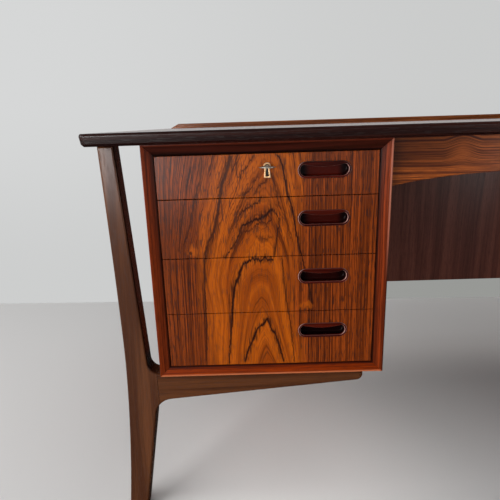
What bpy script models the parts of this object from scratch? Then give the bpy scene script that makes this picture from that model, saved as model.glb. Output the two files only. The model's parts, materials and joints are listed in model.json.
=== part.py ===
"""Executive desk with two drawer pedestals on leg frames and an open bookcase at the back.

Metres, +Z up. The origin is on the floor under the middle of the desk, +X is to the right
of the person who sits at it and +Y points away from that person.
"""

import math

import bmesh
import bpy
from mathutils import Matrix, Vector

# Clearances
FIT = 0.0003
REVEAL = 0.0012
RUNNING = 0.0010
CUT = 0.004
WELD = 1e-6
FLAT_ANGLE = 1e-4
SHARP_ANGLE = math.radians(35)

# Desk top
DESK_WIDTH = 1.708
DESK_DEPTH = 0.830
TOP_HEIGHT = 0.740
TOP_THICKNESS = 0.020
TOP_CORNER_RADIUS = 0.010
LIPPING_WIDTH = 0.009
EDGE_ROUND_IN = 0.003
EDGE_ROUND_DOWN = 0.005
EDGE_FACE_HEIGHT = 0.016
EDGE_UNDERCUT = 0.002
EDGE_BEVEL_IN = 0.006
END_OVERHANG = 0.089
FRONT_OVERHANG = 0.024
BACK_OVERHANG = 0.020
LIP_RISE = 0.014
LIP_THICKNESS = 0.018
LIP_END_SLOPE = 0.027

# Pedestals and bookcase
FLOOR_CLEARANCE = 0.306
PEDESTAL_WIDTH = 0.405
SIDE_BOARD = 0.0185
TOP_BOARD = 0.018
BOTTOM_BOARD = 0.016
DRAWER_BAY_DEPTH = 0.478
PARTITION_THICKNESS = 0.016
FRONT_BEVEL = 0.008
FRONT_ARRIS = 0.0015
SHELF_THICKNESS = 0.016
SHELF_SETBACK = 0.012

# Kneehole
APRON_THICKNESS = 0.018
APRON_SETBACK = 0.015
APRON_END_HEIGHT = 0.080
APRON_RISE = 0.022
APRON_CURVE = 3.5
APRON_STEPS = 20

# Drawers
DRAWER_ROWS = 4
TOP_FRONT_HEIGHT = 0.0705
FRONT_THICKNESS = 0.018
TRAY_WALL = 0.012
TRAY_BOTTOM = 0.006
TRAY_LENGTH = 0.440
TRAY_LIFT = 0.004
TRAY_HEADROOM = 0.012
TRAY_BACK_INSET = 0.006
TRAY_BACK_DROP = 0.003
RUNNER_HEIGHT = 0.012
RUNNER_PROUD = 0.007
RUNNER_START = 0.045

# Pulls
PULL_WIDTH = 0.087
PULL_HEIGHT = 0.027
PULL_FROM_KNEEHOLE = 0.109
TOP_PULL_DROP = 0.0285
PULL_DROP = 0.037
PULL_RIM = 0.0035
PULL_PROUD = 0.0008
PULL_BACK_WALL = 0.003
PULL_LIP_THICKNESS = 0.005
PULL_LIP_HEIGHT = 0.001
PULL_LIP_SAG = 0.0045
ARC_STEPS = 6

# Lock and key
KEY_DROP = 0.0205
KEYHOLE_RADIUS = 0.0036
KEYHOLE_NECK = 0.0016
KEYHOLE_FOOT = 0.0030
KEYHOLE_DROP = 0.0160
ESCUTCHEON_BORDER = 0.0026
ESCUTCHEON_THICKNESS = 0.0012
STEM_RADIUS = 0.0024
STEM_OUTSIDE = 0.010
BOW_WIDTH = 0.028
BOW_LENGTH = 0.020
BOW_RIM = 0.0048
BOW_THICKNESS = 0.0032
BOW_SIDES = 24
BIT_REACH = 0.0066
BIT_WIDTH = 0.0024
BIT_THICKNESS = 0.0020
CASE_WIDTH = 0.048
CASE_DEPTH = 0.012
CASE_WALL = 0.0018
CASE_BELOW_AXIS = 0.016
CASE_TOP_DROP = 0.002
BOLT_WIDTH = 0.018
BOLT_THICKNESS = 0.0035
BOLT_ABOVE_AXIS = 0.0045
BOLT_THROW = 0.008
ROUND_SIDES = 16

# Leg frames, measured outwards from a pedestal's outer face
LEG_THICKNESS = 0.036
LEG_SETBACK = 0.010
LEG_EDGE_ROUND = 0.004
LEG_EDGE_STEPS = 2
ROUND_PROFILE = 0.5
ARM_TOP_OUTER = 0.072
ARM_TOP_INNER = 0.045
ARM_ROOT_INNER = 0.0235
WAIST_OUTER = 0.065
WAIST_RISE = 0.052
FOOT_OUTER = 0.0885
FOOT_INNER = 0.053
KNEE_INNER = 0.0125
ARM_FLARE = 1.5
FOOT_FLARE = 1.75
LEG_STEPS = 7
BEARER_ROOT_DEPTH = 0.0565
BEARER_TIP_DEPTH = 0.023
BEARER_END_GAP = 0.033
BEARER_JOINT = 0.009
ARM_FILLET = 0.022
KNEE_FILLET = 0.034
TIP_FILLET = 0.012

# Places worked out from the sizes above
HALF_WIDTH = DESK_WIDTH / 2
FRONT_EDGE = -DESK_DEPTH / 2
BACK_EDGE = DESK_DEPTH / 2
TOP_UNDERSIDE = TOP_HEIGHT - TOP_THICKNESS
PEDESTAL_OUTER = HALF_WIDTH - END_OVERHANG
PEDESTAL_INNER = PEDESTAL_OUTER - PEDESTAL_WIDTH
PEDESTAL_FRONT = FRONT_EDGE + FRONT_OVERHANG
PEDESTAL_BACK = BACK_EDGE - BACK_OVERHANG
PEDESTAL_FOOT = FLOOR_CLEARANCE
PEDESTAL_HEAD = TOP_UNDERSIDE - FIT
PARTITION_FRONT = PEDESTAL_FRONT + DRAWER_BAY_DEPTH
PARTITION_BACK = PARTITION_FRONT + PARTITION_THICKNESS
OPENING_OUTER = PEDESTAL_OUTER - SIDE_BOARD
OPENING_INNER = PEDESTAL_INNER + SIDE_BOARD
OPENING_FOOT = PEDESTAL_FOOT + BOTTOM_BOARD
OPENING_HEAD = PEDESTAL_HEAD - TOP_BOARD
DRAWER_FACE = PEDESTAL_FRONT + FRONT_BEVEL
DRAWER_MIDDLE = (OPENING_OUTER + OPENING_INNER) / 2
FRONT_WIDTH = OPENING_OUTER - OPENING_INNER - 2 * REVEAL
ROWS_BELOW = DRAWER_ROWS - 1
LOWER_FRONT_HEIGHT = (
    OPENING_HEAD - OPENING_FOOT - TOP_FRONT_HEIGHT - (DRAWER_ROWS + 1) * REVEAL
) / ROWS_BELOW
SIDES = {"left": -1, "right": 1}


def clear_scene():
    for item in list(bpy.data.objects):
        bpy.data.objects.remove(item)


def new_collection(name):
    collection = bpy.data.collections.new(name)
    bpy.context.scene.collection.children.link(collection)
    return collection


def finish(name, colour, roughness, metallic=0.0):
    material = bpy.data.materials.new(name)
    material.use_nodes = True
    shader = material.node_tree.nodes["Principled BSDF"]
    shader.inputs["Base Color"].default_value = (*colour, 1.0)
    shader.inputs["Roughness"].default_value = roughness
    shader.inputs["Metallic"].default_value = metallic
    return material


clear_scene()
PARTS = new_collection("executive_desk")
CUTTERS = new_collection("cutters")
VENEER = finish("rosewood_veneer", (0.30, 0.095, 0.025), 0.32)
FRAME_WOOD = finish("rosewood_frame", (0.13, 0.035, 0.018), 0.35)
DARK_EDGE = finish("dark_edge", (0.045, 0.018, 0.014), 0.28)
LEG_WOOD = finish("leg_wood", (0.095, 0.042, 0.025), 0.42)
PULL_WOOD = finish("pull_wood", (0.055, 0.012, 0.008), 0.30)
TRAY_WOOD = finish("tray_wood", (0.42, 0.25, 0.13), 0.55)
NICKEL = finish("worn_nickel", (0.62, 0.58, 0.48), 0.30, 1.0)
STEEL = finish("lock_steel", (0.45, 0.45, 0.45), 0.38, 1.0)


def place(name, mesh, material, location=(0, 0, 0), parent=None):
    """A visible piece at a place given in its parent's frame."""
    piece = bpy.data.objects.new(name, mesh)
    if not mesh.materials:
        mesh.materials.append(material)
        mesh.shade_smooth()
        mesh.set_sharp_from_angle(angle=SHARP_ANGLE)
    piece.location = location
    piece.parent = parent
    PARTS.objects.link(piece)
    return piece


def cutter(name, mesh, location=(0, 0, 0), parent=None):
    """A helper shape that only Boolean modifiers use."""
    shape = bpy.data.objects.new(name, mesh)
    shape.location = location
    shape.parent = parent
    shape.hide_render = True
    shape.display_type = "WIRE"
    CUTTERS.objects.link(shape)
    return shape


def combine(piece, other, operation="DIFFERENCE"):
    step = piece.modifiers.new(f"{operation.lower()}_{other.name}", "BOOLEAN")
    step.operation = operation
    step.object = other
    step.solver = "EXACT"


def anchor(name, location, parent=None):
    empty = bpy.data.objects.new(name, None)
    empty.empty_display_size = 0.02
    empty.location = location
    empty.parent = parent
    PARTS.objects.link(empty)
    return empty


def box_mesh(name, *spans):
    """Boxes, each given by its lowest and highest corner, in one mesh."""
    shape = bmesh.new()
    for low, high in spans:
        size = Vector(high) - Vector(low)
        middle = (Vector(high) + Vector(low)) / 2
        matrix = Matrix.Translation(middle) @ Matrix.Diagonal((*size, 1))
        bmesh.ops.create_cube(shape, size=1, matrix=matrix)
    mesh = bpy.data.meshes.new(name)
    shape.to_mesh(mesh)
    shape.free()
    return mesh


def rod_mesh(name, radius, low, high):
    """A cylinder along Y, centred on the local Y axis."""
    shape = bmesh.new()
    turn = Matrix.Rotation(math.pi / 2, 4, "X")
    matrix = Matrix.Translation((0, (low + high) / 2, 0)) @ turn
    bmesh.ops.create_cone(
        shape,
        cap_ends=True,
        segments=ROUND_SIDES,
        radius1=radius,
        radius2=radius,
        depth=high - low,
        matrix=matrix,
    )
    mesh = bpy.data.meshes.new(name)
    shape.to_mesh(mesh)
    shape.free()
    return mesh


def welded(mesh):
    """A curve's caps and sides joined, flat areas made one face, and all faces turned outwards."""
    shape = bmesh.new()
    shape.from_mesh(mesh)
    bmesh.ops.remove_doubles(shape, verts=shape.verts, dist=WELD)
    bmesh.ops.dissolve_limit(shape, angle_limit=FLAT_ANGLE, verts=shape.verts, edges=shape.edges)
    bmesh.ops.recalc_face_normals(shape, faces=shape.faces)
    shape.to_mesh(mesh)
    shape.free()
    return mesh


def mesh_of_curve(holder):
    bpy.context.scene.collection.objects.link(holder)
    graph = bpy.context.evaluated_depsgraph_get()
    mesh = bpy.data.meshes.new_from_object(holder.evaluated_get(graph))
    mesh.name = holder.name
    bpy.data.objects.remove(holder)
    return mesh


def outline_curve(name, outlines, closed=True):
    curve = bpy.data.curves.new(name, "CURVE")
    curve.dimensions = "2D"
    for outline in outlines:
        spline = curve.splines.new("POLY")
        spline.points.add(len(outline) - 1)
        for spot, (across, along) in zip(spline.points, outline):
            spot.co = (across, along, 0, 1)
        spline.use_cyclic_u = closed
    return curve


def slab_mesh(name, outlines, low, high):
    """Outlines in the XY plane, thickened from one height to another. Later outlines are holes."""
    curve = outline_curve(name, outlines)
    curve.fill_mode = "BOTH"
    curve.extrude = (high - low) / 2
    mesh = welded(mesh_of_curve(bpy.data.objects.new(name, curve)))
    mesh.transform(Matrix.Translation((0, 0, (low + high) / 2)))
    return mesh


def upright_mesh(name, outlines, near, far):
    """Outlines in the XZ plane, thickened along Y from near to far. Later outlines are holes."""
    mesh = slab_mesh(name, outlines, -far, -near)
    mesh.transform(Matrix.Rotation(math.pi / 2, 4, "X"))
    return mesh


def rectangle(left, right, low, high):
    return [(left, low), (right, low), (right, high), (left, high)]


def arc(centre, radius, start, end, steps):
    """Points on a circle from one angle to another, in degrees."""
    points = []
    for step in range(steps + 1):
        angle = math.radians(start + (end - start) * step / steps)
        points.append((centre[0] + radius * math.cos(angle), centre[1] + radius * math.sin(angle)))
    return points


def filleted(corners, steps=ARC_STEPS):
    """A closed outline whose corners, each given with a radius, are rounded by tangent arcs."""
    outline = []
    for index, (corner, radius) in enumerate(corners):
        here = Vector(corner)
        if not radius:
            outline.append(tuple(here))
            continue
        back = (Vector(corners[index - 1][0]) - here).normalized()
        ahead = (Vector(corners[(index + 1) % len(corners)][0]) - here).normalized()
        half_angle = back.angle(ahead) / 2
        centre = here + (back + ahead).normalized() * radius / math.sin(half_angle)
        first = here + back * radius / math.tan(half_angle) - centre
        last = here + ahead * radius / math.tan(half_angle) - centre
        turn = first.angle_signed(last)
        for step in range(steps + 1):
            swing = Matrix.Rotation(-turn * step / steps, 2)
            outline.append(tuple(centre + swing @ first))
    return outline


def stadium(width, height):
    """An oblong with round ends, centred on the origin."""
    radius = height / 2
    reach = width / 2 - radius
    right_end = arc((reach, 0), radius, -90, 90, 2 * ARC_STEPS)
    left_end = arc((-reach, 0), radius, 90, 270, 2 * ARC_STEPS)
    return right_end + left_end


def rounded_front(half_width, front, back, radius):
    """A plan outline from the back left corner round both front corners to the back right."""
    left = arc((-half_width + radius, front + radius), radius, 180, 270, ARC_STEPS)
    right = arc((half_width - radius, front + radius), radius, 270, 360, ARC_STEPS)
    return [(-half_width, back)] + left + right + [(half_width, back)]


def mirrored(outline, sign):
    return [(sign * across, up) for across, up in outline]


# Desk top


def edge_profile():
    """Half of the lipping's section: inwards from the outer edge, and up from the surface."""
    upper = []
    for step in range(ARC_STEPS - 1):
        angle = math.pi / 2 * step / (ARC_STEPS - 2)
        inward = EDGE_ROUND_IN * (1 - math.sin(angle))
        upper.append((inward, -EDGE_ROUND_DOWN * (1 - math.cos(angle))))
    below = [
        (EDGE_UNDERCUT, -EDGE_FACE_HEIGHT),
        (EDGE_BEVEL_IN, -TOP_THICKNESS),
        (LIPPING_WIDTH, -TOP_THICKNESS),
        (LIPPING_WIDTH, 0),
    ]
    return upper + below


def lipping_mesh():
    """The edge section carried along both ends and the front in one run."""
    section = bpy.data.objects.new("edge_section", outline_curve("edge_section", [edge_profile()]))
    bpy.context.scene.collection.objects.link(section)
    path = rounded_front(HALF_WIDTH, FRONT_EDGE, BACK_EDGE, TOP_CORNER_RADIUS)
    curve = outline_curve("lipping_run", [path[::-1]], closed=False)
    curve.fill_mode = "NONE"
    curve.bevel_mode = "OBJECT"
    curve.bevel_object = section
    curve.use_fill_caps = True
    mesh = welded(mesh_of_curve(bpy.data.objects.new("lipping_run", curve)))
    bpy.data.objects.remove(section)
    return mesh


def build_top():
    panel_half = HALF_WIDTH - LIPPING_WIDTH - FIT
    panel_front = FRONT_EDGE + LIPPING_WIDTH + FIT
    panel_back = BACK_EDGE - LIP_THICKNESS - FIT
    panel_radius = max(TOP_CORNER_RADIUS - LIPPING_WIDTH, FIT)
    panel = rounded_front(panel_half, panel_front, panel_back, panel_radius)
    place("top_panel", slab_mesh("top_panel", [panel], TOP_UNDERSIDE, TOP_HEIGHT), VENEER)

    run = lipping_mesh()
    reach = HALF_WIDTH + CUT
    start = FRONT_EDGE - CUT
    finish_line = BACK_EDGE + CUT
    front_zone = [(-reach + FIT, start), (reach - FIT, start), (0, start + reach - FIT)]
    end_zone = [(-reach, start), (-FIT, start + reach - FIT), (-FIT, finish_line), (-reach, finish_line)]
    zones = {"front": front_zone, "left": end_zone, "right": mirrored(end_zone, -1)}
    for edge, zone in zones.items():
        lipping = place(f"{edge}_lipping", run.copy(), DARK_EDGE, (0, 0, TOP_HEIGHT))
        block = slab_mesh(f"{edge}_mitre", [zone], -TOP_THICKNESS - CUT, CUT)
        combine(lipping, cutter(f"{edge}_mitre", block, (0, 0, TOP_HEIGHT)), "INTERSECT")

    base = HALF_WIDTH - LIPPING_WIDTH - FIT
    crest = base - LIP_END_SLOPE
    crest_height = TOP_HEIGHT + LIP_RISE
    lip = [
        (-base, TOP_UNDERSIDE),
        (base, TOP_UNDERSIDE),
        (base, TOP_HEIGHT),
        (crest, crest_height),
        (-crest, crest_height),
        (-base, TOP_HEIGHT),
    ]
    place("back_lip", upright_mesh("back_lip", [lip], BACK_EDGE - LIP_THICKNESS, BACK_EDGE), FRAME_WOOD)


# Leg frames


def leg_outline():
    """One leg frame in outline: outwards from the pedestal's outer face, and up from the floor."""
    waist = PEDESTAL_FOOT + WAIST_RISE
    outer_edge = []
    for step in range(LEG_STEPS):
        share = 1 - step / LEG_STEPS
        flare = (ARM_TOP_OUTER - WAIST_OUTER) * share**ARM_FLARE
        outer_edge.append((WAIST_OUTER + flare, waist + (PEDESTAL_HEAD - waist) * share))
    for step in range(LEG_STEPS + 1):
        share = step / LEG_STEPS
        flare = (FOOT_OUTER - WAIST_OUTER) * share**FOOT_FLARE
        outer_edge.append((WAIST_OUTER + flare, waist * (1 - share)))
    bearer_top = PEDESTAL_FOOT - FIT
    tip = -(PEDESTAL_WIDTH - BEARER_END_GAP)
    knee = (KNEE_INNER, PEDESTAL_FOOT - BEARER_ROOT_DEPTH)
    rest = [
        ((FOOT_INNER, 0), 0),
        (knee, KNEE_FILLET),
        ((tip, PEDESTAL_FOOT - BEARER_TIP_DEPTH), TIP_FILLET),
        ((tip, bearer_top), 0),
        ((ARM_ROOT_INNER, bearer_top), min(ARM_FILLET, ARM_ROOT_INNER - FIT)),
        ((ARM_TOP_INNER, PEDESTAL_HEAD), 0),
    ]
    return filleted([(point, 0) for point in outer_edge] + rest)


def beyond_line(outline, line, direction):
    """The part of a closed outline on one side of an upright line, less points too near it to be rounded."""
    kept = []
    for index, (out, up) in enumerate(outline):
        before, level = outline[index - 1]
        if (out - line) * (before - line) < 0:
            share = (line - before) / (out - before)
            kept.append((line, level + (up - level) * share))
        if direction * (out - line) > LEG_EDGE_ROUND:
            kept.append((out, up))
    return kept


def round_edges(mesh, joint):
    """Rounds a leg piece's sharp edges, apart from those of its joint face."""
    shape = bmesh.new()
    shape.from_mesh(mesh)
    sharp = []
    for edge in shape.edges:
        at_joint = all(abs(corner.co.x - joint) < WELD for corner in edge.verts)
        if edge.calc_face_angle() > SHARP_ANGLE and not at_joint:
            sharp.append(edge)
    bmesh.ops.bevel(
        shape,
        geom=sharp,
        offset=LEG_EDGE_ROUND,
        segments=LEG_EDGE_STEPS,
        profile=ROUND_PROFILE,
        affect="EDGES",
    )
    shape.to_mesh(mesh)
    shape.free()


def build_leg_frames():
    depths = {
        "front": PEDESTAL_FRONT + LEG_SETBACK,
        "back": PEDESTAL_BACK - LEG_SETBACK - LEG_THICKNESS,
    }
    joints = {"leg": (BEARER_JOINT + FIT / 2, 1), "bearer": (BEARER_JOINT - FIT / 2, -1)}
    for side, sign in SIDES.items():
        for piece, (line, direction) in joints.items():
            half = beyond_line(leg_outline(), line, direction)
            outline = [(sign * (PEDESTAL_OUTER + out), up) for out, up in half]
            mesh = upright_mesh(f"{side}_{piece}", [outline], 0, LEG_THICKNESS)
            round_edges(mesh, sign * (PEDESTAL_OUTER + line))
            for end, depth in depths.items():
                place(f"{end}_{side}_{piece}", mesh, LEG_WOOD, (0, depth, 0))


# Pedestals and bookcase


def drawer_rows():
    """The height of each drawer front and the height of its middle, from the top row down."""
    rows = []
    top = OPENING_HEAD - REVEAL
    for row in range(DRAWER_ROWS):
        height = TOP_FRONT_HEIGHT if row == 0 else LOWER_FRONT_HEIGHT
        rows.append((height, top - height / 2))
        top -= height + REVEAL
    return rows


def tray_heights(front_height):
    """A tray's underside, its rim and its runner's middle, up from the middle of its front."""
    low = -front_height / 2 + TRAY_LIFT
    high = front_height / 2 - TRAY_HEADROOM
    return low, high, (low + high) / 2


def slope_front(mesh, outside, inward, thickness):
    """Slopes a board's front edge back, from a narrow arris on its outer face to its inner face."""
    shape = bmesh.new()
    shape.from_mesh(mesh)
    everything = shape.verts[:] + shape.edges[:] + shape.faces[:]
    arris = outside + inward * FRONT_ARRIS
    bmesh.ops.bisect_plane(shape, geom=everything, plane_co=arris, plane_no=inward)
    slope = FRONT_BEVEL / (thickness - FRONT_ARRIS)
    for corner in shape.verts:
        if corner.co.y < PEDESTAL_FRONT + WELD:
            corner.co.y += slope * max((corner.co - arris).dot(inward), 0)
    shape.to_mesh(mesh)
    shape.free()


def runner_spans(sign, wall, direction):
    """The four drawer runners on one side board, as boxes that start inside the board."""
    root = wall - direction * SIDE_BOARD / 2
    tip = wall + direction * RUNNER_PROUD
    low, high = sorted((sign * root, sign * tip))
    near = PEDESTAL_FRONT + RUNNER_START
    far = PARTITION_FRONT - FIT
    spans = []
    for front_height, middle in drawer_rows():
        centre = middle + tray_heights(front_height)[2]
        foot = centre - RUNNER_HEIGHT / 2
        spans.append(((low, near, foot), (high, far, foot + RUNNER_HEIGHT)))
    return spans


def build_pedestal(side, sign):
    depth = (PEDESTAL_FRONT, PEDESTAL_BACK)
    walls = {
        "outer": (PEDESTAL_OUTER, OPENING_OUTER, -1),
        "inner": (PEDESTAL_INNER, OPENING_INNER, 1),
    }
    for which, (outside, inside, direction) in walls.items():
        name = f"{side}_{which}_side"
        outline = [
            (outside, PEDESTAL_FOOT),
            (outside, PEDESTAL_HEAD),
            (inside, OPENING_HEAD),
            (inside, OPENING_FOOT),
        ]
        mesh = upright_mesh(name, [mirrored(outline, sign)], *depth)
        slope_front(mesh, Vector((sign * outside, 0, 0)), Vector((sign * direction, 0, 0)), SIDE_BOARD)
        board = place(name, mesh, FRAME_WOOD)
        runners = box_mesh(f"{name}_runners", *runner_spans(sign, inside, direction))
        combine(board, cutter(f"{name}_runners", runners), "UNION")

    levels = {
        "bottom_board": (PEDESTAL_FOOT, OPENING_FOOT, 1),
        "top_board": (PEDESTAL_HEAD, OPENING_HEAD, -1),
    }
    boards = {}
    for which, (outside, inside, direction) in levels.items():
        name = f"{side}_{which}"
        outline = [
            (PEDESTAL_INNER + FIT, outside),
            (PEDESTAL_OUTER - FIT, outside),
            (OPENING_OUTER - FIT, inside),
            (OPENING_INNER + FIT, inside),
        ]
        mesh = upright_mesh(name, [mirrored(outline, sign)], *depth)
        slope_front(mesh, Vector((0, 0, outside)), Vector((0, 0, direction)), abs(inside - outside))
        boards[which] = place(name, mesh, FRAME_WOOD)

    low, high = sorted((sign * (OPENING_INNER + FIT), sign * (OPENING_OUTER - FIT)))
    floor = OPENING_FOOT + FIT
    ceiling = OPENING_HEAD - FIT
    partition = ((low, PARTITION_FRONT, floor), (high, PARTITION_BACK, ceiling))
    place(f"{side}_partition", box_mesh(f"{side}_partition", partition), FRAME_WOOD)
    build_shelf(f"{side}_shelf", low, high)
    return boards["top_board"]


def build_shelf(name, low, high):
    middle = (OPENING_FOOT + OPENING_HEAD) / 2
    near = PARTITION_BACK + FIT
    far = PEDESTAL_BACK - SHELF_SETBACK
    foot = middle - SHELF_THICKNESS / 2
    shelf = ((low, near, foot), (high, far, foot + SHELF_THICKNESS))
    place(name, box_mesh(name, shelf), VENEER)


def build_kneehole():
    reach = PEDESTAL_INNER - FIT
    arch = []
    for step in range(APRON_STEPS + 1):
        across = reach * (2 * step / APRON_STEPS - 1)
        lift = APRON_RISE * (1 - abs(across / reach) ** APRON_CURVE)
        arch.append((across, PEDESTAL_HEAD - APRON_END_HEIGHT + lift))
    outline = arch + [(reach, PEDESTAL_HEAD), (-reach, PEDESTAL_HEAD)]
    near = PEDESTAL_FRONT + APRON_SETBACK
    place("apron_rail", upright_mesh("apron_rail", [outline], near, near + APRON_THICKNESS), FRAME_WOOD)

    panel = ((-reach, PARTITION_FRONT, PEDESTAL_FOOT), (reach, PARTITION_BACK, PEDESTAL_HEAD))
    place("modesty_panel", box_mesh("modesty_panel", panel), VENEER)
    near = PARTITION_BACK + FIT
    floor = ((-reach, near, PEDESTAL_FOOT), (reach, PEDESTAL_BACK, OPENING_FOOT))
    place("bookcase_bottom", box_mesh("bookcase_bottom", floor), FRAME_WOOD)
    build_shelf("middle_shelf", -reach, reach)


# Drawers


def pull_shape():
    """A stadium block hollowed behind an upper finger lip, whose lower edge sags in the middle."""
    back = FRONT_THICKNESS
    block = upright_mesh("pull", [stadium(PULL_WIDTH, PULL_HEIGHT)], -PULL_PROUD, back)
    pull = cutter("pull_blank", block)
    inner_width = PULL_WIDTH - 2 * PULL_RIM
    inner_height = PULL_HEIGHT - 2 * PULL_RIM
    hollow = stadium(inner_width, inner_height)
    floor = back - PULL_BACK_WALL
    behind = upright_mesh("pull_hollow", [hollow], PULL_LIP_THICKNESS, floor)
    combine(pull, cutter("pull_hollow", behind))

    radius = inner_height / 2
    reach = inner_width / 2 - radius
    lip_edge = radius - PULL_LIP_HEIGHT
    end_angle = math.degrees(math.asin(lip_edge / radius))
    right_end = arc((reach, 0), radius, -90, end_angle, 2 * ARC_STEPS)
    left_end = arc((-reach, 0), radius, 180 - end_angle, 270, 2 * ARC_STEPS)
    sag = []
    for step in range(1, ARC_STEPS):
        share = 1 - 2 * step / ARC_STEPS
        sag.append((share * right_end[-1][0], lip_edge - PULL_LIP_SAG * (1 - share**2)))
    mouth = right_end + sag + left_end
    opening = upright_mesh("pull_mouth", [mouth], -PULL_PROUD - CUT, PULL_LIP_THICKNESS + CUT / 2)
    combine(pull, cutter("pull_mouth", opening))
    graph = bpy.context.evaluated_depsgraph_get()
    mesh = bpy.data.meshes.new_from_object(pull.evaluated_get(graph))
    mesh.name = "pull"
    return mesh


def tray_shape(front_height):
    """Two grooved sides on a bottom, with a back let in between them."""
    low, high, runner = tray_heights(front_height)
    half = (OPENING_OUTER - OPENING_INNER) / 2 - RUNNING
    groove = half - RUNNER_PROUD
    groove_low = runner - RUNNER_HEIGHT / 2 - FIT
    groove_high = runner + RUNNER_HEIGHT / 2 + FIT
    inside = half - TRAY_WALL
    floor = low + TRAY_BOTTOM
    right_half = [
        (half, low),
        (half, groove_low),
        (groove, groove_low),
        (groove, groove_high),
        (half, groove_high),
        (half, high),
        (inside, high),
        (inside, floor),
    ]
    outline = right_half + mirrored(right_half[::-1], -1)
    near = FRONT_THICKNESS + FIT
    far = near + TRAY_LENGTH
    tray = cutter(f"tray_{front_height:.3f}", upright_mesh("tray", [outline], near, far))
    overlap = TRAY_WALL / 4
    back_end = far - TRAY_BACK_INSET
    back = (
        (-inside - overlap, back_end - TRAY_WALL, floor - TRAY_BOTTOM / 2),
        (inside + overlap, back_end, high - TRAY_BACK_DROP),
    )
    combine(tray, cutter(f"{tray.name}_back", box_mesh("tray_back", back)), "UNION")
    graph = bpy.context.evaluated_depsgraph_get()
    return bpy.data.meshes.new_from_object(tray.evaluated_get(graph))


def keyhole(radius, neck, foot, drop):
    """A round eye over a slot that widens downwards, centred on the eye."""
    neck_angle = math.degrees(math.asin(neck / radius))
    eye = arc((0, 0), radius, -90 + neck_angle, 270 - neck_angle, 2 * ARC_STEPS)
    return eye + [(-foot, -drop), (foot, -drop)]


def shifted(outline, across, up):
    return [(x + across, z + up) for x, z in outline]


def build_drawer(name, sign, row, height, middle, pull, tray):
    """A front with its pull and tray, hung on an empty in the middle of the front's face."""
    origin = anchor(name, (sign * DRAWER_MIDDLE, DRAWER_FACE, middle))
    drop = TOP_PULL_DROP if row == 0 else PULL_DROP
    pull_across = sign * (PEDESTAL_INNER + PULL_FROM_KNEEHOLE - DRAWER_MIDDLE)
    pull_up = height / 2 - drop
    slot = stadium(PULL_WIDTH + 2 * FIT, PULL_HEIGHT + 2 * FIT)
    outlines = [
        rectangle(-FRONT_WIDTH / 2, FRONT_WIDTH / 2, -height / 2, height / 2),
        shifted(slot, pull_across, pull_up),
    ]
    locked = row == 0 and sign < 0
    if locked:
        hole = keyhole(KEYHOLE_RADIUS, KEYHOLE_NECK, KEYHOLE_FOOT, KEYHOLE_DROP)
        outlines.append(shifted(hole, 0, height / 2 - KEY_DROP))
    front = upright_mesh(f"{name}_front", outlines, 0, FRONT_THICKNESS)
    place(f"{name}_front", front, VENEER, parent=origin)
    place(f"{name}_pull", pull, PULL_WOOD, (pull_across, 0, pull_up), origin)
    place(f"{name}_tray", tray, TRAY_WOOD, parent=origin)
    return origin


# Lock and key


def build_lock(drawer, top_board):
    """A lock on the back of the top left drawer front, with its key in the keyhole."""
    case_front = FRONT_THICKNESS + FIT
    case_back = case_front + CASE_DEPTH
    case_head = KEY_DROP - CASE_TOP_DROP
    half_case = CASE_WIDTH / 2
    half_bolt = BOLT_WIDTH / 2
    bolt_back = case_back - CASE_WALL - FIT
    bolt_front = bolt_back - BOLT_THICKNESS
    axis = anchor("key_axis", (0, 0, TOP_FRONT_HEIGHT / 2 - KEY_DROP), drawer)

    outer = keyhole(
        KEYHOLE_RADIUS + ESCUTCHEON_BORDER,
        KEYHOLE_NECK + ESCUTCHEON_BORDER,
        KEYHOLE_FOOT + ESCUTCHEON_BORDER,
        KEYHOLE_DROP + ESCUTCHEON_BORDER,
    )
    eye = keyhole(KEYHOLE_RADIUS, KEYHOLE_NECK, KEYHOLE_FOOT, KEYHOLE_DROP)
    plate = upright_mesh("escutcheon", [outer, eye], -ESCUTCHEON_THICKNESS - FIT, -FIT)
    place("escutcheon", plate, NICKEL, parent=axis)

    case_span = ((-half_case, case_front, -CASE_BELOW_AXIS), (half_case, case_back, case_head))
    case = place("lock_case", box_mesh("lock_case", case_span), STEEL, parent=axis)
    hollow_span = (
        (-half_case + CASE_WALL, case_front + CASE_WALL, -CASE_BELOW_AXIS + CASE_WALL),
        (half_case - CASE_WALL, case_back - CASE_WALL, case_head - CASE_WALL),
    )
    slot_span = (
        (-half_bolt - FIT, bolt_front - FIT, case_head - 2 * CASE_WALL),
        (half_bolt + FIT, bolt_back + FIT / 2, case_head + CUT),
    )
    stem_hole = rod_mesh("stem_hole", STEM_RADIUS + FIT, case_front - CUT, case_front + 2 * CASE_WALL)
    combine(case, cutter("case_hollow", box_mesh("case_hollow", hollow_span), parent=axis))
    combine(case, cutter("case_slot", box_mesh("case_slot", slot_span), parent=axis))
    combine(case, cutter("stem_hole", stem_hole, parent=axis))

    bolt_span = ((-half_bolt, bolt_front, BOLT_ABOVE_AXIS), (half_bolt, bolt_back, case_head))
    place("lock_bolt", box_mesh("lock_bolt", bolt_span), STEEL, parent=axis)
    mortise_span = (
        (-half_bolt - RUNNING, bolt_front - RUNNING, case_head),
        (half_bolt + RUNNING, bolt_back + RUNNING, case_head + BOLT_THROW + RUNNING),
    )
    combine(top_board, cutter("mortise", box_mesh("mortise", mortise_span), parent=axis))
    build_key(axis, case_front, case_back - CASE_WALL)


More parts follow.
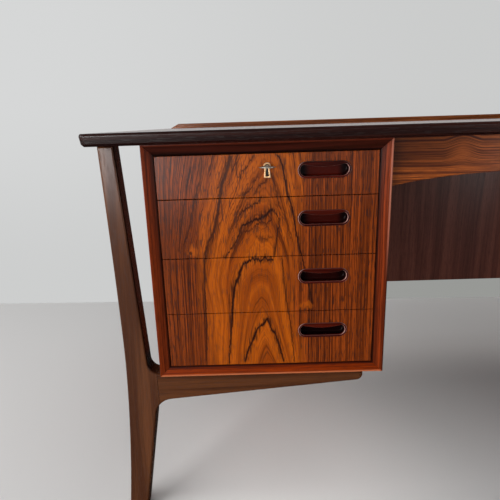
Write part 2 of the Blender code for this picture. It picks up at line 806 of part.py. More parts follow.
def build_key(axis, case_front, case_floor):
    stem = rod_mesh("key", STEM_RADIUS, -STEM_OUTSIDE, case_floor - FIT)
    key = place("key", stem, NICKEL, parent=axis)
    bow_middle = -STEM_OUTSIDE - BOW_LENGTH / 2 + BOW_RIM / 2
    last = 360 - 360 / BOW_SIDES
    ring = []
    for inset in (0, BOW_RIM):
        ring.append([])
        for across, along in arc((0, 0), 1, 0, last, BOW_SIDES - 1):
            wide = (BOW_WIDTH / 2 - inset) * across
            ring[-1].append((wide, bow_middle + (BOW_LENGTH / 2 - inset) * along))
    bow = slab_mesh("bow", ring, -BOW_THICKNESS / 2, BOW_THICKNESS / 2)
    combine(key, cutter("bow", bow, parent=axis), "UNION")
    bit_near = case_front + CASE_WALL + FIT
    bit_span = (
        (0, bit_near, -BIT_THICKNESS / 2),
        (BIT_REACH, bit_near + BIT_WIDTH, BIT_THICKNESS / 2),
    )
    combine(key, cutter("bit", box_mesh("bit", bit_span), parent=axis), "UNION")


def build_desk():
    build_top()
    build_leg_frames()
    build_kneehole()
    top_boards = {side: build_pedestal(side, sign) for side, sign in SIDES.items()}
    pull = pull_shape()
    trays = {height: tray_shape(height) for height in (TOP_FRONT_HEIGHT, LOWER_FRONT_HEIGHT)}
    drawers = {}
    for side, sign in SIDES.items():
        for row, (height, middle) in enumerate(drawer_rows()):
            name = f"{side}_drawer_{row + 1}"
            drawers[name] = build_drawer(name, sign, row, height, middle, pull, trays[height])
    build_lock(drawers["left_drawer_1"], top_boards["left"])


build_desk()
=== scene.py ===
import json
import math

import bmesh
import bpy
import numpy as np
from mathutils import Matrix, Vector
from mathutils.geometry import tessellate_polygon

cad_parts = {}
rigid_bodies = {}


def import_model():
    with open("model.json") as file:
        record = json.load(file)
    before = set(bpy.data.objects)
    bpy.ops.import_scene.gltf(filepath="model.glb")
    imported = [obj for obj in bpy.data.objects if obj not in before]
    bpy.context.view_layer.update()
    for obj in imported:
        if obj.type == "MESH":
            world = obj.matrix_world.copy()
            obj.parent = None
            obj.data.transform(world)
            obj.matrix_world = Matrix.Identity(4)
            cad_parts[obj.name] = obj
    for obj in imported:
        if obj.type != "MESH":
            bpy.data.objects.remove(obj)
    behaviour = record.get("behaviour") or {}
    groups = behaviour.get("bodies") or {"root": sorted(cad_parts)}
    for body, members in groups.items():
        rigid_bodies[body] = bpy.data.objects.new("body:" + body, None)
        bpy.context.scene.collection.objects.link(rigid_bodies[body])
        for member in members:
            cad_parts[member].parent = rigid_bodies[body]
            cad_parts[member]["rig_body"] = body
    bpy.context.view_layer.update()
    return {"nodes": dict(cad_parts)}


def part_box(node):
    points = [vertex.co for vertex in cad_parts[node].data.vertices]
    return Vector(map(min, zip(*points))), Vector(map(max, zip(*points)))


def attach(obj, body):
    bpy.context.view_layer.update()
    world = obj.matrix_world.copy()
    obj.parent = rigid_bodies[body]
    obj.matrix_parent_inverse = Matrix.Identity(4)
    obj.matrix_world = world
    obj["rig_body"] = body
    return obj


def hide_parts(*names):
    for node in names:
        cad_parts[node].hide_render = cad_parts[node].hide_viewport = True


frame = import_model()
sides = {"left": -1, "right": 1}
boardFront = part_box("left_inner_side")[0].y
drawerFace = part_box("left_drawer_1_front")[0].y
print("frame loaded,", len(frame["nodes"]), "nodes")


# Shader maths


class Wire:
    # one socket of a material; arithmetic on wires adds Math nodes
    def __init__(self, tree, socket=None):
        self.tree = tree
        self.socket = socket

    def add(self, kind, settings=None, inputs=None, output=0):
        # a node of any type: settings first, then the values or links of its sockets
        node = self.tree.nodes.new("ShaderNode" + kind)
        for name, value in (settings or {}).items():
            if name == "points":
                setPoints(node.mapping, value)
            else:
                setattr(node, name, value)
        for name, value in (inputs or {}).items():
            if isinstance(value, Wire):
                self.tree.links.new(value.socket, node.inputs[name])
            else:
                node.inputs[name].default_value = value
        return Wire(self.tree, node.outputs[output])

    def math(self, operation, *values):
        return self.add("Math", {"operation": operation}, dict(enumerate(values)))

    def __add__(self, other):
        return self.math("ADD", self, other)

    def __radd__(self, other):
        return self.math("ADD", other, self)

    def __sub__(self, other):
        return self.math("SUBTRACT", self, other)

    def __rsub__(self, other):
        return self.math("SUBTRACT", other, self)

    def __mul__(self, other):
        return self.math("MULTIPLY", self, other)

    def __rmul__(self, other):
        return self.math("MULTIPLY", other, self)

    def __truediv__(self, other):
        return self.math("DIVIDE", self, other)

    def __pow__(self, power):
        return self.math("POWER", self, power)

    def __abs__(self):
        return self.math("ABSOLUTE", self)

    def split(self):
        # the three numbers of a vector
        node = self.add("SeparateXYZ", {}, {0: self}).socket.node
        return [Wire(self.tree, socket) for socket in node.outputs]

    def rise(self, low, high):
        # 0 below low, 1 above high, and a smooth step between them; it falls where low is the greater
        ends = {"Value": self, "From Min": low, "From Max": high}
        return self.add("MapRange", {"interpolation_type": "SMOOTHSTEP"}, ends)

    def follow(self, path):
        # a smooth curve through pairs of place and value, held level beyond its two ends
        pairs = np.array(path)
        low, span = pairs.min(axis=0), np.ptp(pairs, axis=0)
        share = (self - float(low[0])) / float(span[0])
        curve = self.add("FloatCurve", {"points": ((pairs - low) / span).tolist()}, {"Value": share})
        return curve * float(span[1]) + float(low[1])

    def blend(self, first, second):
        # from the first colour to the second by this factor
        return self.add("Mix", {"data_type": "RGBA"}, {0: self, 6: first, 7: second}, 2)


def setPoints(mapping, points):
    # the first and last point of a curve are there already
    curve = mapping.curves[0]
    for place, value in points[1:-1]:
        curve.points.new(place, value)
    curve.points[0].location = points[0]
    curve.points[-1].location = points[-1]
    mapping.update()


def tone(red, green, blue):
    # a screen colour from 0 to 255 as the linear colour that renders as it
    share = np.array([red, green, blue]) / 255
    linear = np.where(share < 0.04045, share / 12.92, ((share + 0.055) / 1.055) ** 2.4)
    return (*linear.tolist(), 1.0)


def newFinish(name):
    # a material, its shader, and the X, Y and Z of a place on the desk
    finish = bpy.data.materials.new(name)
    finish.use_nodes = True
    shader = finish.node_tree.nodes["Principled BSDF"]
    return finish, shader, Wire(finish.node_tree).add("TexCoord", output="Object").split()


def noiseOf(spot, scales, detail=2.0, roughness=0.5):
    # noise with its own number of cells a metre along each of the three directions
    vector = spot[0].add("CombineXYZ", {}, {axis: spot[axis] * scales[axis] for axis in range(3)})
    values = {"Vector": vector, "Scale": 1.0, "Detail": detail, "Roughness": roughness}
    return vector.add("TexNoise", {}, values)


def plug(shader, **values):
    # links or numbers for the shader's sockets by name
    for name, value in values.items():
        socket = shader.inputs[name.replace("_", " ")]
        if isinstance(value, Wire):
            value.tree.links.new(value.socket, socket)
        else:
            socket.default_value = value


# Wood


# noise cells a metre across the grain, in depth and along it
cells = dict(
    sway=(7.0, 5.0, 2.2), fibres=(2300.0, 400.0, 40.0), pores=(560.0, 300.0, 46.0),
    ringWobble=(95.0, 5.0, 7.0), sideEdge=(90.0, 5.0, 6.0), knotEdge=(160.0, 20.0, 90.0),
    lineEdge=(300.0, 20.0, 10.0), lineWander=(25.0, 20.0, 150.0),
    lineFeather=(520.0, 20.0, 26.0), lineBreaks=(30.0, 5.0, 18.0),
)
wood = dict(
    bandCells=(14.0, 1.6), hairCells=(120.0, 14.0), lineDepth=40.0,  # in depth and along the grain
    hairTimes=2.3, hairShare=0.5, betweenBands=0.35,  # hairs to a line; lines fade between the bands
    fibreShare=0.35, fibreHeight=0.35, poreShare=0.25, poreDepth=0.8, streakDepth=0.2,
    relief=0.08, reliefDepth=0.0002, unevenGloss=0.08,
)


def grainColour(grain, look):
    # slow bands mix the two tones, and narrow lines and hairs along the grain darken them
    bands = noiseOf(grain, (look["bands"], *wood["bandCells"]), 3.0, 0.55)
    lineCells = (look["lines"], wood["lineDepth"], look.get("broken", 3.0))
    lines = noiseOf(grain, lineCells, 2.0, 0.6).rise(0.53, 0.59)
    hairs = noiseOf(grain, (look["lines"] * wood["hairTimes"], *wood["hairCells"]), 1.0).rise(0.5, 0.62)
    streaks = lines * (wood["betweenBands"] + bands.rise(0.3, 0.6) * (1 - wood["betweenBands"]))
    colour = bands.rise(0.38, 0.62).blend(look["light"], look["deep"])
    colour = (streaks * look["contrast"]).blend(colour, look["dark"])
    return (hairs * look["contrast"] * wood["hairShare"]).blend(colour, look["dark"]), streaks


def rosewood(name, look):
    # grain lies by the distance across it, or by the figure's ring distance where the veneer is figured
    finish, shader, parts = newFinish(name)
    across, depth, along = (parts["XYZ".index(axis)] for axis in look["axes"])
    if look.get("mirror"):
        across = 0 - abs(across)
    across = across - along * look.get("lean", 0.0)
    if "hump" in look:
        # the grain arches up at one place along it
        hump = look["hump"]
        arched = abs(along - hump["middle"]).rise(hump["half"], 0.0) * across.rise(*hump["up"])
        across = across - arched * hump["lift"]
    spot = (across, depth, along)
    sway = noiseOf(spot, cells["sway"]) - 0.5
    grain = (across + sway * look.get("sway", 0.02), depth, along)
    if "figure" in look:
        grain, colour, streaks, dashes = figuredGrain(look, spot, sway, grain)
    else:
        colour, streaks = grainColour(grain, look)
        dashes = wood["poreShare"]
    if "hump" in look:
        colour = (arched * across.rise(*hump["paleBelow"]) * hump["pale"]).blend(colour, look["light"])
    fibres = noiseOf(grain, cells["fibres"], 2.0, 0.6)
    pores = noiseOf(spot, cells["pores"], 1.0).rise(0.56, 0.62)
    colour = (fibres.rise(0.75, 0.25) * wood["fibreShare"]).blend(colour, look["dark"])
    colour = (pores * dashes).blend(colour, look["dark"])
    height = fibres * wood["fibreHeight"] - pores * wood["poreDepth"] - streaks * wood["streakDepth"]
    relief = {"Height": height, "Strength": wood["relief"], "Distance": wood["reliefDepth"]}
    rough = look["rough"] + (fibres - 0.5 + pores) * wood["unevenGloss"]
    plug(shader, Base_Color=placeTints(look, colour, parts, depth), Roughness=rough)
    plug(shader, Normal=height.add("Bump", {}, relief), Specular_IOR_Level=look.get("gloss", 0.35))
    return finish


# painted highlights on arrises; painted shade in corners, on the arms' inner faces and at the apron's ends;
# dark seams at the leg joints
tint = dict(
    arrisHighlightWide=(0.0012, 0.0003), arrisHighlightShare=0.5,
    cornerNear=(0.0058, 0.0076), cornerFar=(0.0105, 0.0085),  # behind the boards' front
    cornerShadeShare=0.85, cornerShadeTone=tone(12, 5, 4),
    insideFacing=(0.5, 0.9), insideFade=0.02, insideShare=0.85, insideTone=tone(10, 5, 4),
    endShadeShare=0.65, seamWide=(0.0012, 0.0003), seamShare=0.6,
)


def placeTints(look, colour, parts, depth):
    # painted light and shade by place: highlights on pull rims and arrises, shade in pull hollows, in
    # corners, on the arms' inner faces and at the apron's ends, light in the upper pulls' hollows; and dark
    # seams at the leg joints
    if "rim" in look:
        colour = pullColour(look, colour, parts)
    # a painted highlight along the front arris
    if "arris" in look:
        pale, low, high = look["arris"]
        front = (depth - boardFront).rise(*tint["arrisHighlightWide"])
        colour = (front * parts[2].rise(low, high) * tint["arrisHighlightShare"]).blend(colour, pale)
    # painted shade in the corner where the bevel meets the drawer fronts
    if look.get("corner"):
        slope = depth - boardFront
        line = slope.rise(*tint["cornerNear"]) * slope.rise(*tint["cornerFar"])
        colour = (line * tint["cornerShadeShare"]).blend(colour, tint["cornerShadeTone"])
    # painted shade on the arms' faces turned towards the pedestal
    if "inside" in look:
        facing = depth.add("NewGeometry", output="Normal").split()[0]
        inward = (0 - facing) * parts[0] / abs(parts[0])
        above = parts[2].rise(look["inside"] - tint["insideFade"], look["inside"])
        weight = inward.rise(*tint["insideFacing"]) * above
        colour = (weight * tint["insideShare"]).blend(colour, tint["insideTone"])
    # painted shade on the apron's upper part towards its ends, under the desk top and beside the pedestals
    if "ends" in look:
        near, far, low, high = look["ends"]
        weight = abs(parts[0]).rise(near, far) * parts[2].rise(low, high)
        colour = (weight * tint["endShadeShare"]).blend(colour, look["dark"])
    if "seam" in look:
        weight = abs(abs(parts[0]) - look["seam"]).rise(*tint["seamWide"])
        colour = (weight * tint["seamShare"]).blend(colour, look["dark"])
    return colour


def pullColour(look, colour, parts):
    # painted highlight on the rounded rim, most at the two ends; painted shade in the hollow, with painted
    # light that makes it redder in the upper drawers
    rim = look["rim"]
    fromMiddle = abs(abs(parts[0]) - rim["middle"])
    behind = parts[1] - drawerFace
    rounded = behind.rise(*rim["proud"]) * behind.rise(*rim["sunk"])
    pale = rim["leastPale"] + fromMiddle.rise(*rim["paleEnds"]) * rim["morePale"]
    colour = (rounded * pale).blend(colour, rim["pale"])
    lit = parts[2].rise(*rim["litUp"]) * fromMiddle.rise(*rim["litMiddle"])
    return behind.rise(*rim["hollow"]).blend(colour, lit.blend(look["dark"], rim["glow"]))


# Figured veneer


def figuredGrain(look, spot, sway, grain):
    # the figure's rings between two plainer sides, with finer grain where the left side spreads out
    figure = look["figure"]
    across, depth, along = spot
    grain = (leftLean(figure, grain), depth, along)
    plain, plainStreaks = grainColour(grain, look)
    fine, _ = grainColour(grain, dict(look, **figure["fine"]))
    plain = (along.rise(*figure["fineUp"]) * across.rise(*figure["fineLeft"])).blend(plain, fine)
    dim = along.rise(*figure["dimUp"]) * across.rise(*figure["dimLeft"]) * figure["dim"]
    plain = dim.blend(plain, look["dark"])
    height, offset = figureOffset(figure, spot, sway)
    crown = abs(offset).rise(*figure["crownWide"]) * height.rise(*figure["crownUp"])
    busy = figure["busyLow"] + height.rise(*figure["busyUp"]) * (1 - figure["busyLow"])
    contrast = figure["contrast"] * busy * (1 - crown * figure["crownCalm"])
    rings = (figureRings(figure, spot, sway), depth, along)
    inner, innerStreaks = grainColour(rings, dict(figure, contrast=contrast))
    side = sideTint(figure, spot, sway)
    colour = knotColour(figure, side.blend(inner, plain), spot)
    colour = drawnLines(figure, spot).blend(colour, figure["ink"])
    streaks = innerStreaks + side * (plainStreaks - innerStreaks)
    dashes = figure["pores"] + height.rise(*figure["porousUp"]) * figure["porous"]
    return grain, colour, streaks, dashes + side * (look["pores"] - dashes)


def knotColour(figure, colour, spot):
    # ragged ovals: the distance from each middle against the oval's half width and half height
    across, _, along = spot
    ragged = (noiseOf(spot, cells["knotEdge"]) - 0.5) * figure["knotRagged"]
    for middle, height, wide, high, shade, strength in figure["knots"]:
        away = (((across - middle) / wide) ** 2 + ((along - height) / high) ** 2) ** 0.5 + ragged
        colour = (away.rise(*figure["knotFade"]) * strength).blend(colour, figure[shade])
    return colour


def figureOffset(figure, spot, sway):
    # the distance from the figure's middle, which wanders with height as a parabola
    height = spot[2] - figure["foot"]
    middle = figure["middle"] + height * figure["lean"] + height * height * figure["bow"]
    return height, spot[0] - middle - sway * figure["sway"]


def figureRings(figure, spot, sway):
    # ring distance = root of w^2 + q + k w root q: w is the distance from the middle, stretched on the right,
    # q is a cubic that grows with height, so that the rings close in arches, and k points the low arches
    height, offset = figureOffset(figure, spot, sway)
    first, second, third = figure["steep"]
    right = offset.rise(-figure["ridge"], figure["ridge"])
    wide = abs(offset * (1 + right * (first + height * second + height * height * third)))
    start, growth, quicken, slacken = figure["growth"]
    grown = start + height * (growth + height * (quicken + height * slacken))
    grown = grown.math("MAXIMUM", grown, figure["leastGrown"])
    pointed = height.rise(*figure["pointedUp"]) * figure["pointed"]
    ring = (wide * wide + grown + pointed * wide * grown**0.5) ** 0.5
    wobble = noiseOf(spot, cells["ringWobble"]) - 0.5
    return ring + wobble * figure["wobble"] * height.rise(*figure["wobbleUp"])


def sideTint(figure, spot, sway):
    # 1 on the two plainer sides of the figure, with a ragged boundary
    _, offset = figureOffset(figure, spot, sway)
    ragged = offset + (noiseOf(spot, cells["sideEdge"]) - 0.5) * figure["sideRagged"]
    return (0 - ragged).rise(*figure["leftSide"]) + ragged.rise(*figure["rightSide"])


def leftLean(figure, grain):
    # left of the figure the grain leans with its leftmost dark line, less towards the edge
    across, _, along = grain
    path = np.array(figure["upright"][0][0]) / 1000
    drift = (along.follow(path) - path[0][1]) * figure["leanShare"]
    return across - drift * across.rise(*figure["leanLeft"]) * across.rise(*figure["leanRight"])


inkLine = dict(
    ragged=0.014, wander=0.003, feather=0.8, swell=1.25,
    core=(1.0, 0.2), featherReach=(2.8, 0.8),  # where the line fades, in widths from its middle
    beyond=0.004, within=0.002,  # its two ends fade between these
)


def drawnLines(figure, spot):
    # dark lines along chosen paths: the distance from the path's curve against its width, ragged because
    # the height it is read at jumps from fibre to fibre, feathered along the grain and broken by a slow noise
    across, _, along = spot
    ragged = along + (noiseOf(spot, cells["lineEdge"]) - 0.5) * inkLine["ragged"]
    across = across + (noiseOf(spot, cells["lineWander"]) - 0.5) * inkLine["wander"]
    feather = noiseOf(spot, cells["lineFeather"], 1.0).rise(0.46, 0.58) * inkLine["feather"]
    drawn = 0.0
    for kind, run, other in (("upright", ragged, across), ("level", across, ragged)):
        for points, lowWidth, highWidth, strength in figure[kind]:
            path = np.array(points) / 1000
            low, high = path[0][0], path[-1][0]
            width = lowWidth + run.rise(low, high) * (highWidth - lowWidth)
            off = abs(other - run.follow(path)) / (width * inkLine["swell"])
            fringe = off.rise(*inkLine["featherReach"]) * feather
            near = fringe.math("MAXIMUM", off.rise(*inkLine["core"]), fringe)
            started = run.rise(low - inkLine["beyond"], low + inkLine["within"])
            within = started * run.rise(high + inkLine["beyond"], high - inkLine["within"])
            drawn = near.math("MAXIMUM", near * within * strength, drawn)
    return drawn * noiseOf(spot, cells["lineBreaks"]).rise(0.1, 0.4)


drawerLook = dict(
    axes="XYZ", mirror=True, light=tone(156, 68, 17), deep=tone(100, 41, 11), dark=tone(42, 16, 7),
    bands=460.0, lines=820.0, broken=8.0, contrast=0.85, pores=0.75, sway=0.006, rough=0.22, gloss=0.10,
)
drawerFigure = dict(
    light=tone(180, 86, 10), deep=tone(145, 64, 8), dark=tone(58, 22, 6), ink=tone(40, 17, 8),
    bands=120.0, lines=640.0, broken=8.0, contrast=1.0,
    busyLow=0.45, busyUp=(0.18, 0.26),  # the share of the lines low in the figure, where it is calmer
    crownWide=(0.05, 0.015), crownUp=(0.15, 0.21), crownCalm=0.6,
    pores=0.38, porous=0.3, porousUp=(0.19, 0.25),  # more pores higher up
    middle=-0.5647, lean=-0.1496, bow=0.4414, foot=0.322, sway=0.02, ridge=0.006,
    steep=(0.559, -4.148, 8.897), growth=(0.000121, 0.01044, 0.09496, -0.14107), leastGrown=0.0001,
    pointed=0.7, pointedUp=(0.17, 0.08), wobble=0.006, wobbleUp=(0.02, 0.26),
    leftSide=(0.085, 0.120), rightSide=(0.045, 0.075), sideRagged=0.05,
    leanShare=0.62, leanLeft=(-0.78, -0.65), leanRight=(-0.56, -0.62),
    fine=dict(bands=552.0, lines=1148.0, contrast=1.0), fineUp=(0.48, 0.62), fineLeft=(-0.62, -0.66),
    dim=0.22, dimUp=(0.66, 0.58), dimLeft=(-0.62, -0.69),  # the lower left is darker
    knotRagged=1.6, knotFade=(1.1, 0.3),
)
drawerFigure["knots"] = [  # across, height, half width, half height, tone and strength
    (-0.6905, 0.5410, 0.0130, 0.0125, "light", 0.65),
    (-0.6962, 0.5369, 0.0028, 0.0036, "ink", 0.8),
    (-0.4990, 0.4365, 0.0135, 0.0095, "light", 0.6),
    (-0.4962, 0.4330, 0.0030, 0.0026, "dark", 0.4),
]
drawerFigure["upright"] = [  # pairs of height and place across in mm, the width at both ends and the strength
    (
        [(331, -680), (363, -679), (412, -676), (450, -676), (485, -675), (521, -673), (550, -667)]
        + [(567, -658), (607, -646), (651, -637), (672, -629), (700, -620)],
        0.0010, 0.0040, 0.9,
    ),
    (
        [(440, -488), (489, -498), (520, -505), (559, -514), (601, -521), (640, -531), (664, -535)]
        + [(686, -539), (699, -547)],
        0.0014, 0.0020, 1.0,
    ),
    ([(326, -520), (368, -523), (399, -526), (428, -531), (475, -536), (524, -540)], 0.0012, 0.0016, 0.8),
    (
        [(327, -639), (353, -637), (384, -633), (427, -629), (458, -626), (475, -623), (491, -616)]
        + [(509, -610), (517, -605)],
        0.0014, 0.0040, 1.0,
    ),
    ([(330, -609), (353, -602), (372, -593), (390, -587), (400, -577), (414, -568)], 0.0028, 0.0036, 1.0),
    ([(326, -539), (339, -542), (360, -547), (379, -553), (396, -561), (414, -568)], 0.0020, 0.0030, 1.0),
    ([(528, -639), (537, -631), (549, -622), (565, -613), (579, -609)], 0.0018, 0.0022, 0.9),
    ([(528, -553), (547, -550), (573, -547), (587, -544), (598, -547), (608, -554)], 0.0016, 0.0018, 0.9),
    ([(581, -617), (597, -612), (607, -606)], 0.0012, 0.0016, 0.7),
    ([(660, -606), (669, -605), (680, -596), (696, -584)], 0.0016, 0.0016, 0.9),
    ([(663, -606), (679, -613), (693, -607)], 0.0014, 0.0014, 0.7),
    ([(610, -542), (628, -547), (642, -549), (654, -552), (665, -555)], 0.0012, 0.0014, 0.7),
    ([(552, -707), (583, -695), (606, -690), (632, -682), (673, -670), (697, -668)], 0.0018, 0.0018, 0.8),
    ([(543, -716), (580, -710), (599, -706), (629, -700), (684, -686)], 0.0018, 0.0018, 0.8),
]
drawerFigure["level"] = [  # the same with the place across first
    (
        [(-605, 518), (-595, 521), (-585, 524), (-577, 520), (-570, 525), (-561, 520), (-554, 527)],
        0.0040, 0.0030, 1.0,
    ),
    ([(-609, 579), (-597, 587), (-584, 591), (-573, 595), (-561, 604), (-554, 608)], 0.0026, 0.0050, 1.0),
    ([(-602, 572), (-594, 574), (-585, 580), (-574, 587), (-564, 586), (-556, 595)], 0.0020, 0.0024, 0.8),
    ([(-584, 565), (-573, 559), (-566, 559), (-555, 563)], 0.0022, 0.0022, 0.6),
    ([(-606, 607), (-593, 614), (-582, 619), (-574, 628)], 0.0022, 0.0022, 0.9),
    ([(-584, 634), (-577, 647), (-569, 653), (-562, 659)], 0.0020, 0.0020, 0.8),
    ([(-611, 634), (-597, 638), (-586, 652), (-576, 670)], 0.0018, 0.0018, 0.7),
]
drawerLook["figure"] = drawerFigure


# Looks of the other woods


frameLook = dict(
    axes="XYZ", light=tone(128, 48, 14), deep=tone(96, 33, 8), dark=tone(40, 14, 6),
    bands=90.0, lines=420.0, contrast=0.6, rough=0.3, gloss=0.035,
)
outerSideLook = dict(frameLook, light=tone(132, 50, 16), deep=tone(78, 26, 7), bands=170.0, contrast=0.45)
# corner: painted shade where the stiles' bevels meet the drawer fronts
outerSideLook["corner"] = True
# a painted highlight on the inner stile's front arris, in its upper part
innerSideLook = dict(outerSideLook, contrast=0.75, gloss=0.012, arris=(tone(190, 120, 96), 0.46, 0.62))
# painted shade in the rails' corners by the drawers, and a painted highlight along their front arris
frontRailLook = dict(frameLook, axes="ZYX", light=tone(148, 52, 3), deep=tone(116, 37, 2), corner=True)
frontRailLook["arris"] = (tone(206, 122, 78), 0.0, 0.1)
# the top rail: a darker copy of the front rail, partly its own darker wood and partly painted shade under the
# desk top's overhang; its arris carries a painted highlight
topRailShadedLook = dict(frontRailLook, light=tone(64, 23, 15), deep=tone(38, 13, 8), bands=200.0)
topRailShadedLook["arris"] = (tone(112, 44, 24), 0.0, 0.1)
apronLook = dict(frameLook, axes="ZYX", light=tone(178, 92, 34), deep=tone(100, 44, 16))
# ends: painted shade on the apron's upper part towards the pedestals, under the desk top
apronLook.update(bands=480.0, lines=900.0, contrast=0.9, gloss=0.08, ends=(0.14, 0.34, 0.655, 0.69))
apronLook["hump"] = dict(middle=-0.244, half=0.034, lift=0.008, up=(0.662, 0.692))
apronLook["hump"].update(pale=0.6, paleBelow=(0.706, 0.69))
topLook = dict(frameLook, axes="YZX", light=tone(140, 66, 28), bands=18.0, lines=150.0, rough=0.2, gloss=0.8)
shelfLook = dict(topLook, light=tone(122, 58, 26))
panelLook = dict(frameLook, light=tone(112, 65, 53), deep=tone(92, 50, 41), bands=40.0, lines=300.0)
panelLook.update(contrast=0.3, gloss=0.08)
edgeLook = dict(frameLook, axes="ZYX", light=tone(48, 20, 14), deep=tone(34, 12, 9), dark=tone(18, 6, 5))
edgeLook.update(rough=0.26, gloss=0.16)
lipLook = dict(edgeLook, light=tone(168, 98, 54), deep=tone(126, 66, 32))
# inside: painted shade on the arms' faces turned towards the pedestal, above its foot
legLook = dict(
    axes="XYZ", mirror=True, light=tone(96, 58, 35), deep=tone(72, 41, 25), dark=tone(44, 22, 14),
    bands=60.0, lines=300.0, contrast=0.25, rough=0.24, gloss=0.08,
    lean=0.04, seam=0.774, inside=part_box("left_inner_side")[0].z,
)
bearerLook = dict(legLook, axes="ZYX", mirror=False, lean=0.0, light=tone(92, 54, 30), deep=tone(72, 40, 21))
pullLook = dict(frameLook, axes="ZYX", light=tone(84, 21, 9), deep=tone(62, 14, 6), dark=tone(17, 4, 4))
pullLook.update(rough=0.2, gloss=0.03)
# rim: a painted highlight on the rounded rim, painted shade in the hollow, and painted light (glow) in the
# hollows of the upper drawers
pullLook["rim"] = dict(
    middle=0.469, pale=tone(176, 140, 130), leastPale=0.12, morePale=0.7, paleEnds=(0.030, 0.042),
    proud=(-0.0007, -0.0002), sunk=(0.0016, 0.0008), hollow=(0.0015, 0.006),
    glow=tone(70, 17, 9), litUp=(0.40, 0.70), litMiddle=(0.034, 0.022),
)
trayLook = dict(
    axes="ZXY", light=tone(206, 170, 126), deep=tone(188, 146, 100), dark=tone(140, 98, 60),
    bands=50.0, lines=260.0, contrast=0.35, rough=0.55,
)


wear = dict(stainCells=(260.0, 260.0, 260.0), scratchCells=(4000.0, 900.0, 500.0), unevenGloss=0.15)


def metal(name, look):
    # a plain metal, dulled by a slow stain and fine scratches
    finish, shader, parts = newFinish(name)
    stain = noiseOf(parts, wear["stainCells"], 3.0)
    scratch = noiseOf(parts, wear["scratchCells"], 1.0)
    colour = stain.rise(0.35, 0.7).blend(look["colour"], look["stain"])
    rough = look["rough"] + (scratch - 0.5) * wear["unevenGloss"]
    plug(shader, Base_Color=colour, Metallic=0.6, Roughness=rough)
    return finish


metals = dict(
    escutcheonMetal=dict(colour=tone(204, 164, 118), stain=tone(162, 122, 82), rough=0.3),
    keyMetal=dict(colour=tone(168, 162, 148), stain=tone(110, 104, 92), rough=0.25),
    lockMetal=dict(colour=tone(92, 90, 86), stain=tone(64, 62, 58), rough=0.4),
)
woods = dict(
    drawerVeneer=drawerLook, outerSideWood=outerSideLook, innerSideWood=innerSideLook,
    frontRail=frontRailLook, topRailShaded=topRailShadedLook, apronWood=apronLook,
    topVeneer=topLook, shelfVeneer=shelfLook, panelVeneer=panelLook,
    edgeWood=edgeLook, endEdgeWood=dict(edgeLook, axes="ZXY"), lipWood=lipLook,
    legWood=legLook, bearerWood=bearerLook, pullWood=pullLook, trayWood=trayLook,
)
finishes = {name: rosewood(name, look) for name, look in woods.items()}
finishes.update({name: metal(name, look) for name, look in metals.items()})
print("finishes made,", len(finishes))


# Surfaces


upright = [0, 2, 1]  # an outline in X and Z, thickened along Y
level = [0, 1, 2]  # an outline in X and Y, thickened along Z
softEdge = 0.0008  # rounding of a plain board's edges
limits = dict(samePoint=1e-7, onLine=1e-6, straight=1e-4, sharp=40)  # two in metres, a sine, degrees


def gridFaces(rows, columns, wrapRows=False):
    # quads between neighbouring rows of a grid whose rows are closed loops
    row = np.arange(rows if wrapRows else rows - 1)[:, None]
    column = np.arange(columns)[None, :]
    nextRow = (row + 1) % rows
    nextColumn = (column + 1) % columns
    corners = [(row, column), (row, nextColumn), (nextRow, nextColumn), (nextRow, column)]
    places = [cornerRow * columns + cornerColumn for cornerRow, cornerColumn in corners]
    return np.stack(places, axis=-1).reshape(-1, 4).tolist()


def loft(loops, wrapRows=False):
    # closed loops joined in order by quads; the first and last loop are filled
    rows, columns, _ = loops.shape
    faces = gridFaces(rows, columns, wrapRows)
    if not wrapRows:
        faces.append(list(range(columns)))
        faces.append(list(range((rows - 1) * columns, rows * columns)))
    return loops.reshape(-1, 3), faces


def filleted(corners, radii, steps=6):
    # each corner C of a closed outline becomes the arc ((1-t)^2 A + 2w t(1-t) C + t^2 B) / sum of weights,
    # a true circle where w is the sine of half the corner's angle
    corner = np.array(corners, float)
    back = np.roll(corner, 1, axis=0) - corner
    ahead = np.roll(corner, -1, axis=0) - corner
    back /= np.linalg.norm(back, axis=1, keepdims=True)
    ahead /= np.linalg.norm(ahead, axis=1, keepdims=True)
    half = np.arccos(np.clip(np.sum(back * ahead, axis=1), -1, 1)) / 2
    reach = (np.broadcast_to(radii, half.shape) / np.tan(half))[:, None, None]
    weight = np.sin(half)[:, None, None]
    t = np.linspace(0, 1, steps + 1)[None, :, None]
    first = (1 - t) ** 2
    middle = 2 * weight * t * (1 - t)
    last = t**2
    start = corner[:, None] + back[:, None] * reach
    end = corner[:, None] + ahead[:, None] * reach
    arcs = (first * start + middle * corner[:, None] + last * end) / (first + middle + last)
    outline = arcs.reshape(-1, 2)
    gap = np.linalg.norm(outline - np.roll(outline, 1, axis=0), axis=1)
    return outline[gap > limits["samePoint"]]


def insetVectors(outline, held=None):
    # the move of a corner when each edge goes inwards by 1, or by 0 where it is held:
    # the vector v with n1.v = w1 and n2.v = w2 for the normals of its two edges
    step = np.roll(outline, -1, axis=0) - outline
    normal = np.stack([-step[:, 1], step[:, 0]], axis=1) / np.linalg.norm(step, axis=1, keepdims=True)
    weight = np.ones(len(outline)) if held is None else 1.0 - held
    before = np.roll(normal, 1, axis=0)
    weightBefore = np.roll(weight, 1)
    cross = before[:, 0] * normal[:, 1] - before[:, 1] * normal[:, 0]
    straight = np.abs(cross) < limits["straight"]
    safe = np.where(straight, 1, cross)
    across = (weightBefore * normal[:, 1] - weight * before[:, 1]) / safe
    along = (weight * before[:, 0] - weightBefore * normal[:, 0]) / safe
    return np.where(straight[:, None], normal * weight[:, None], np.stack([across, along], axis=1))


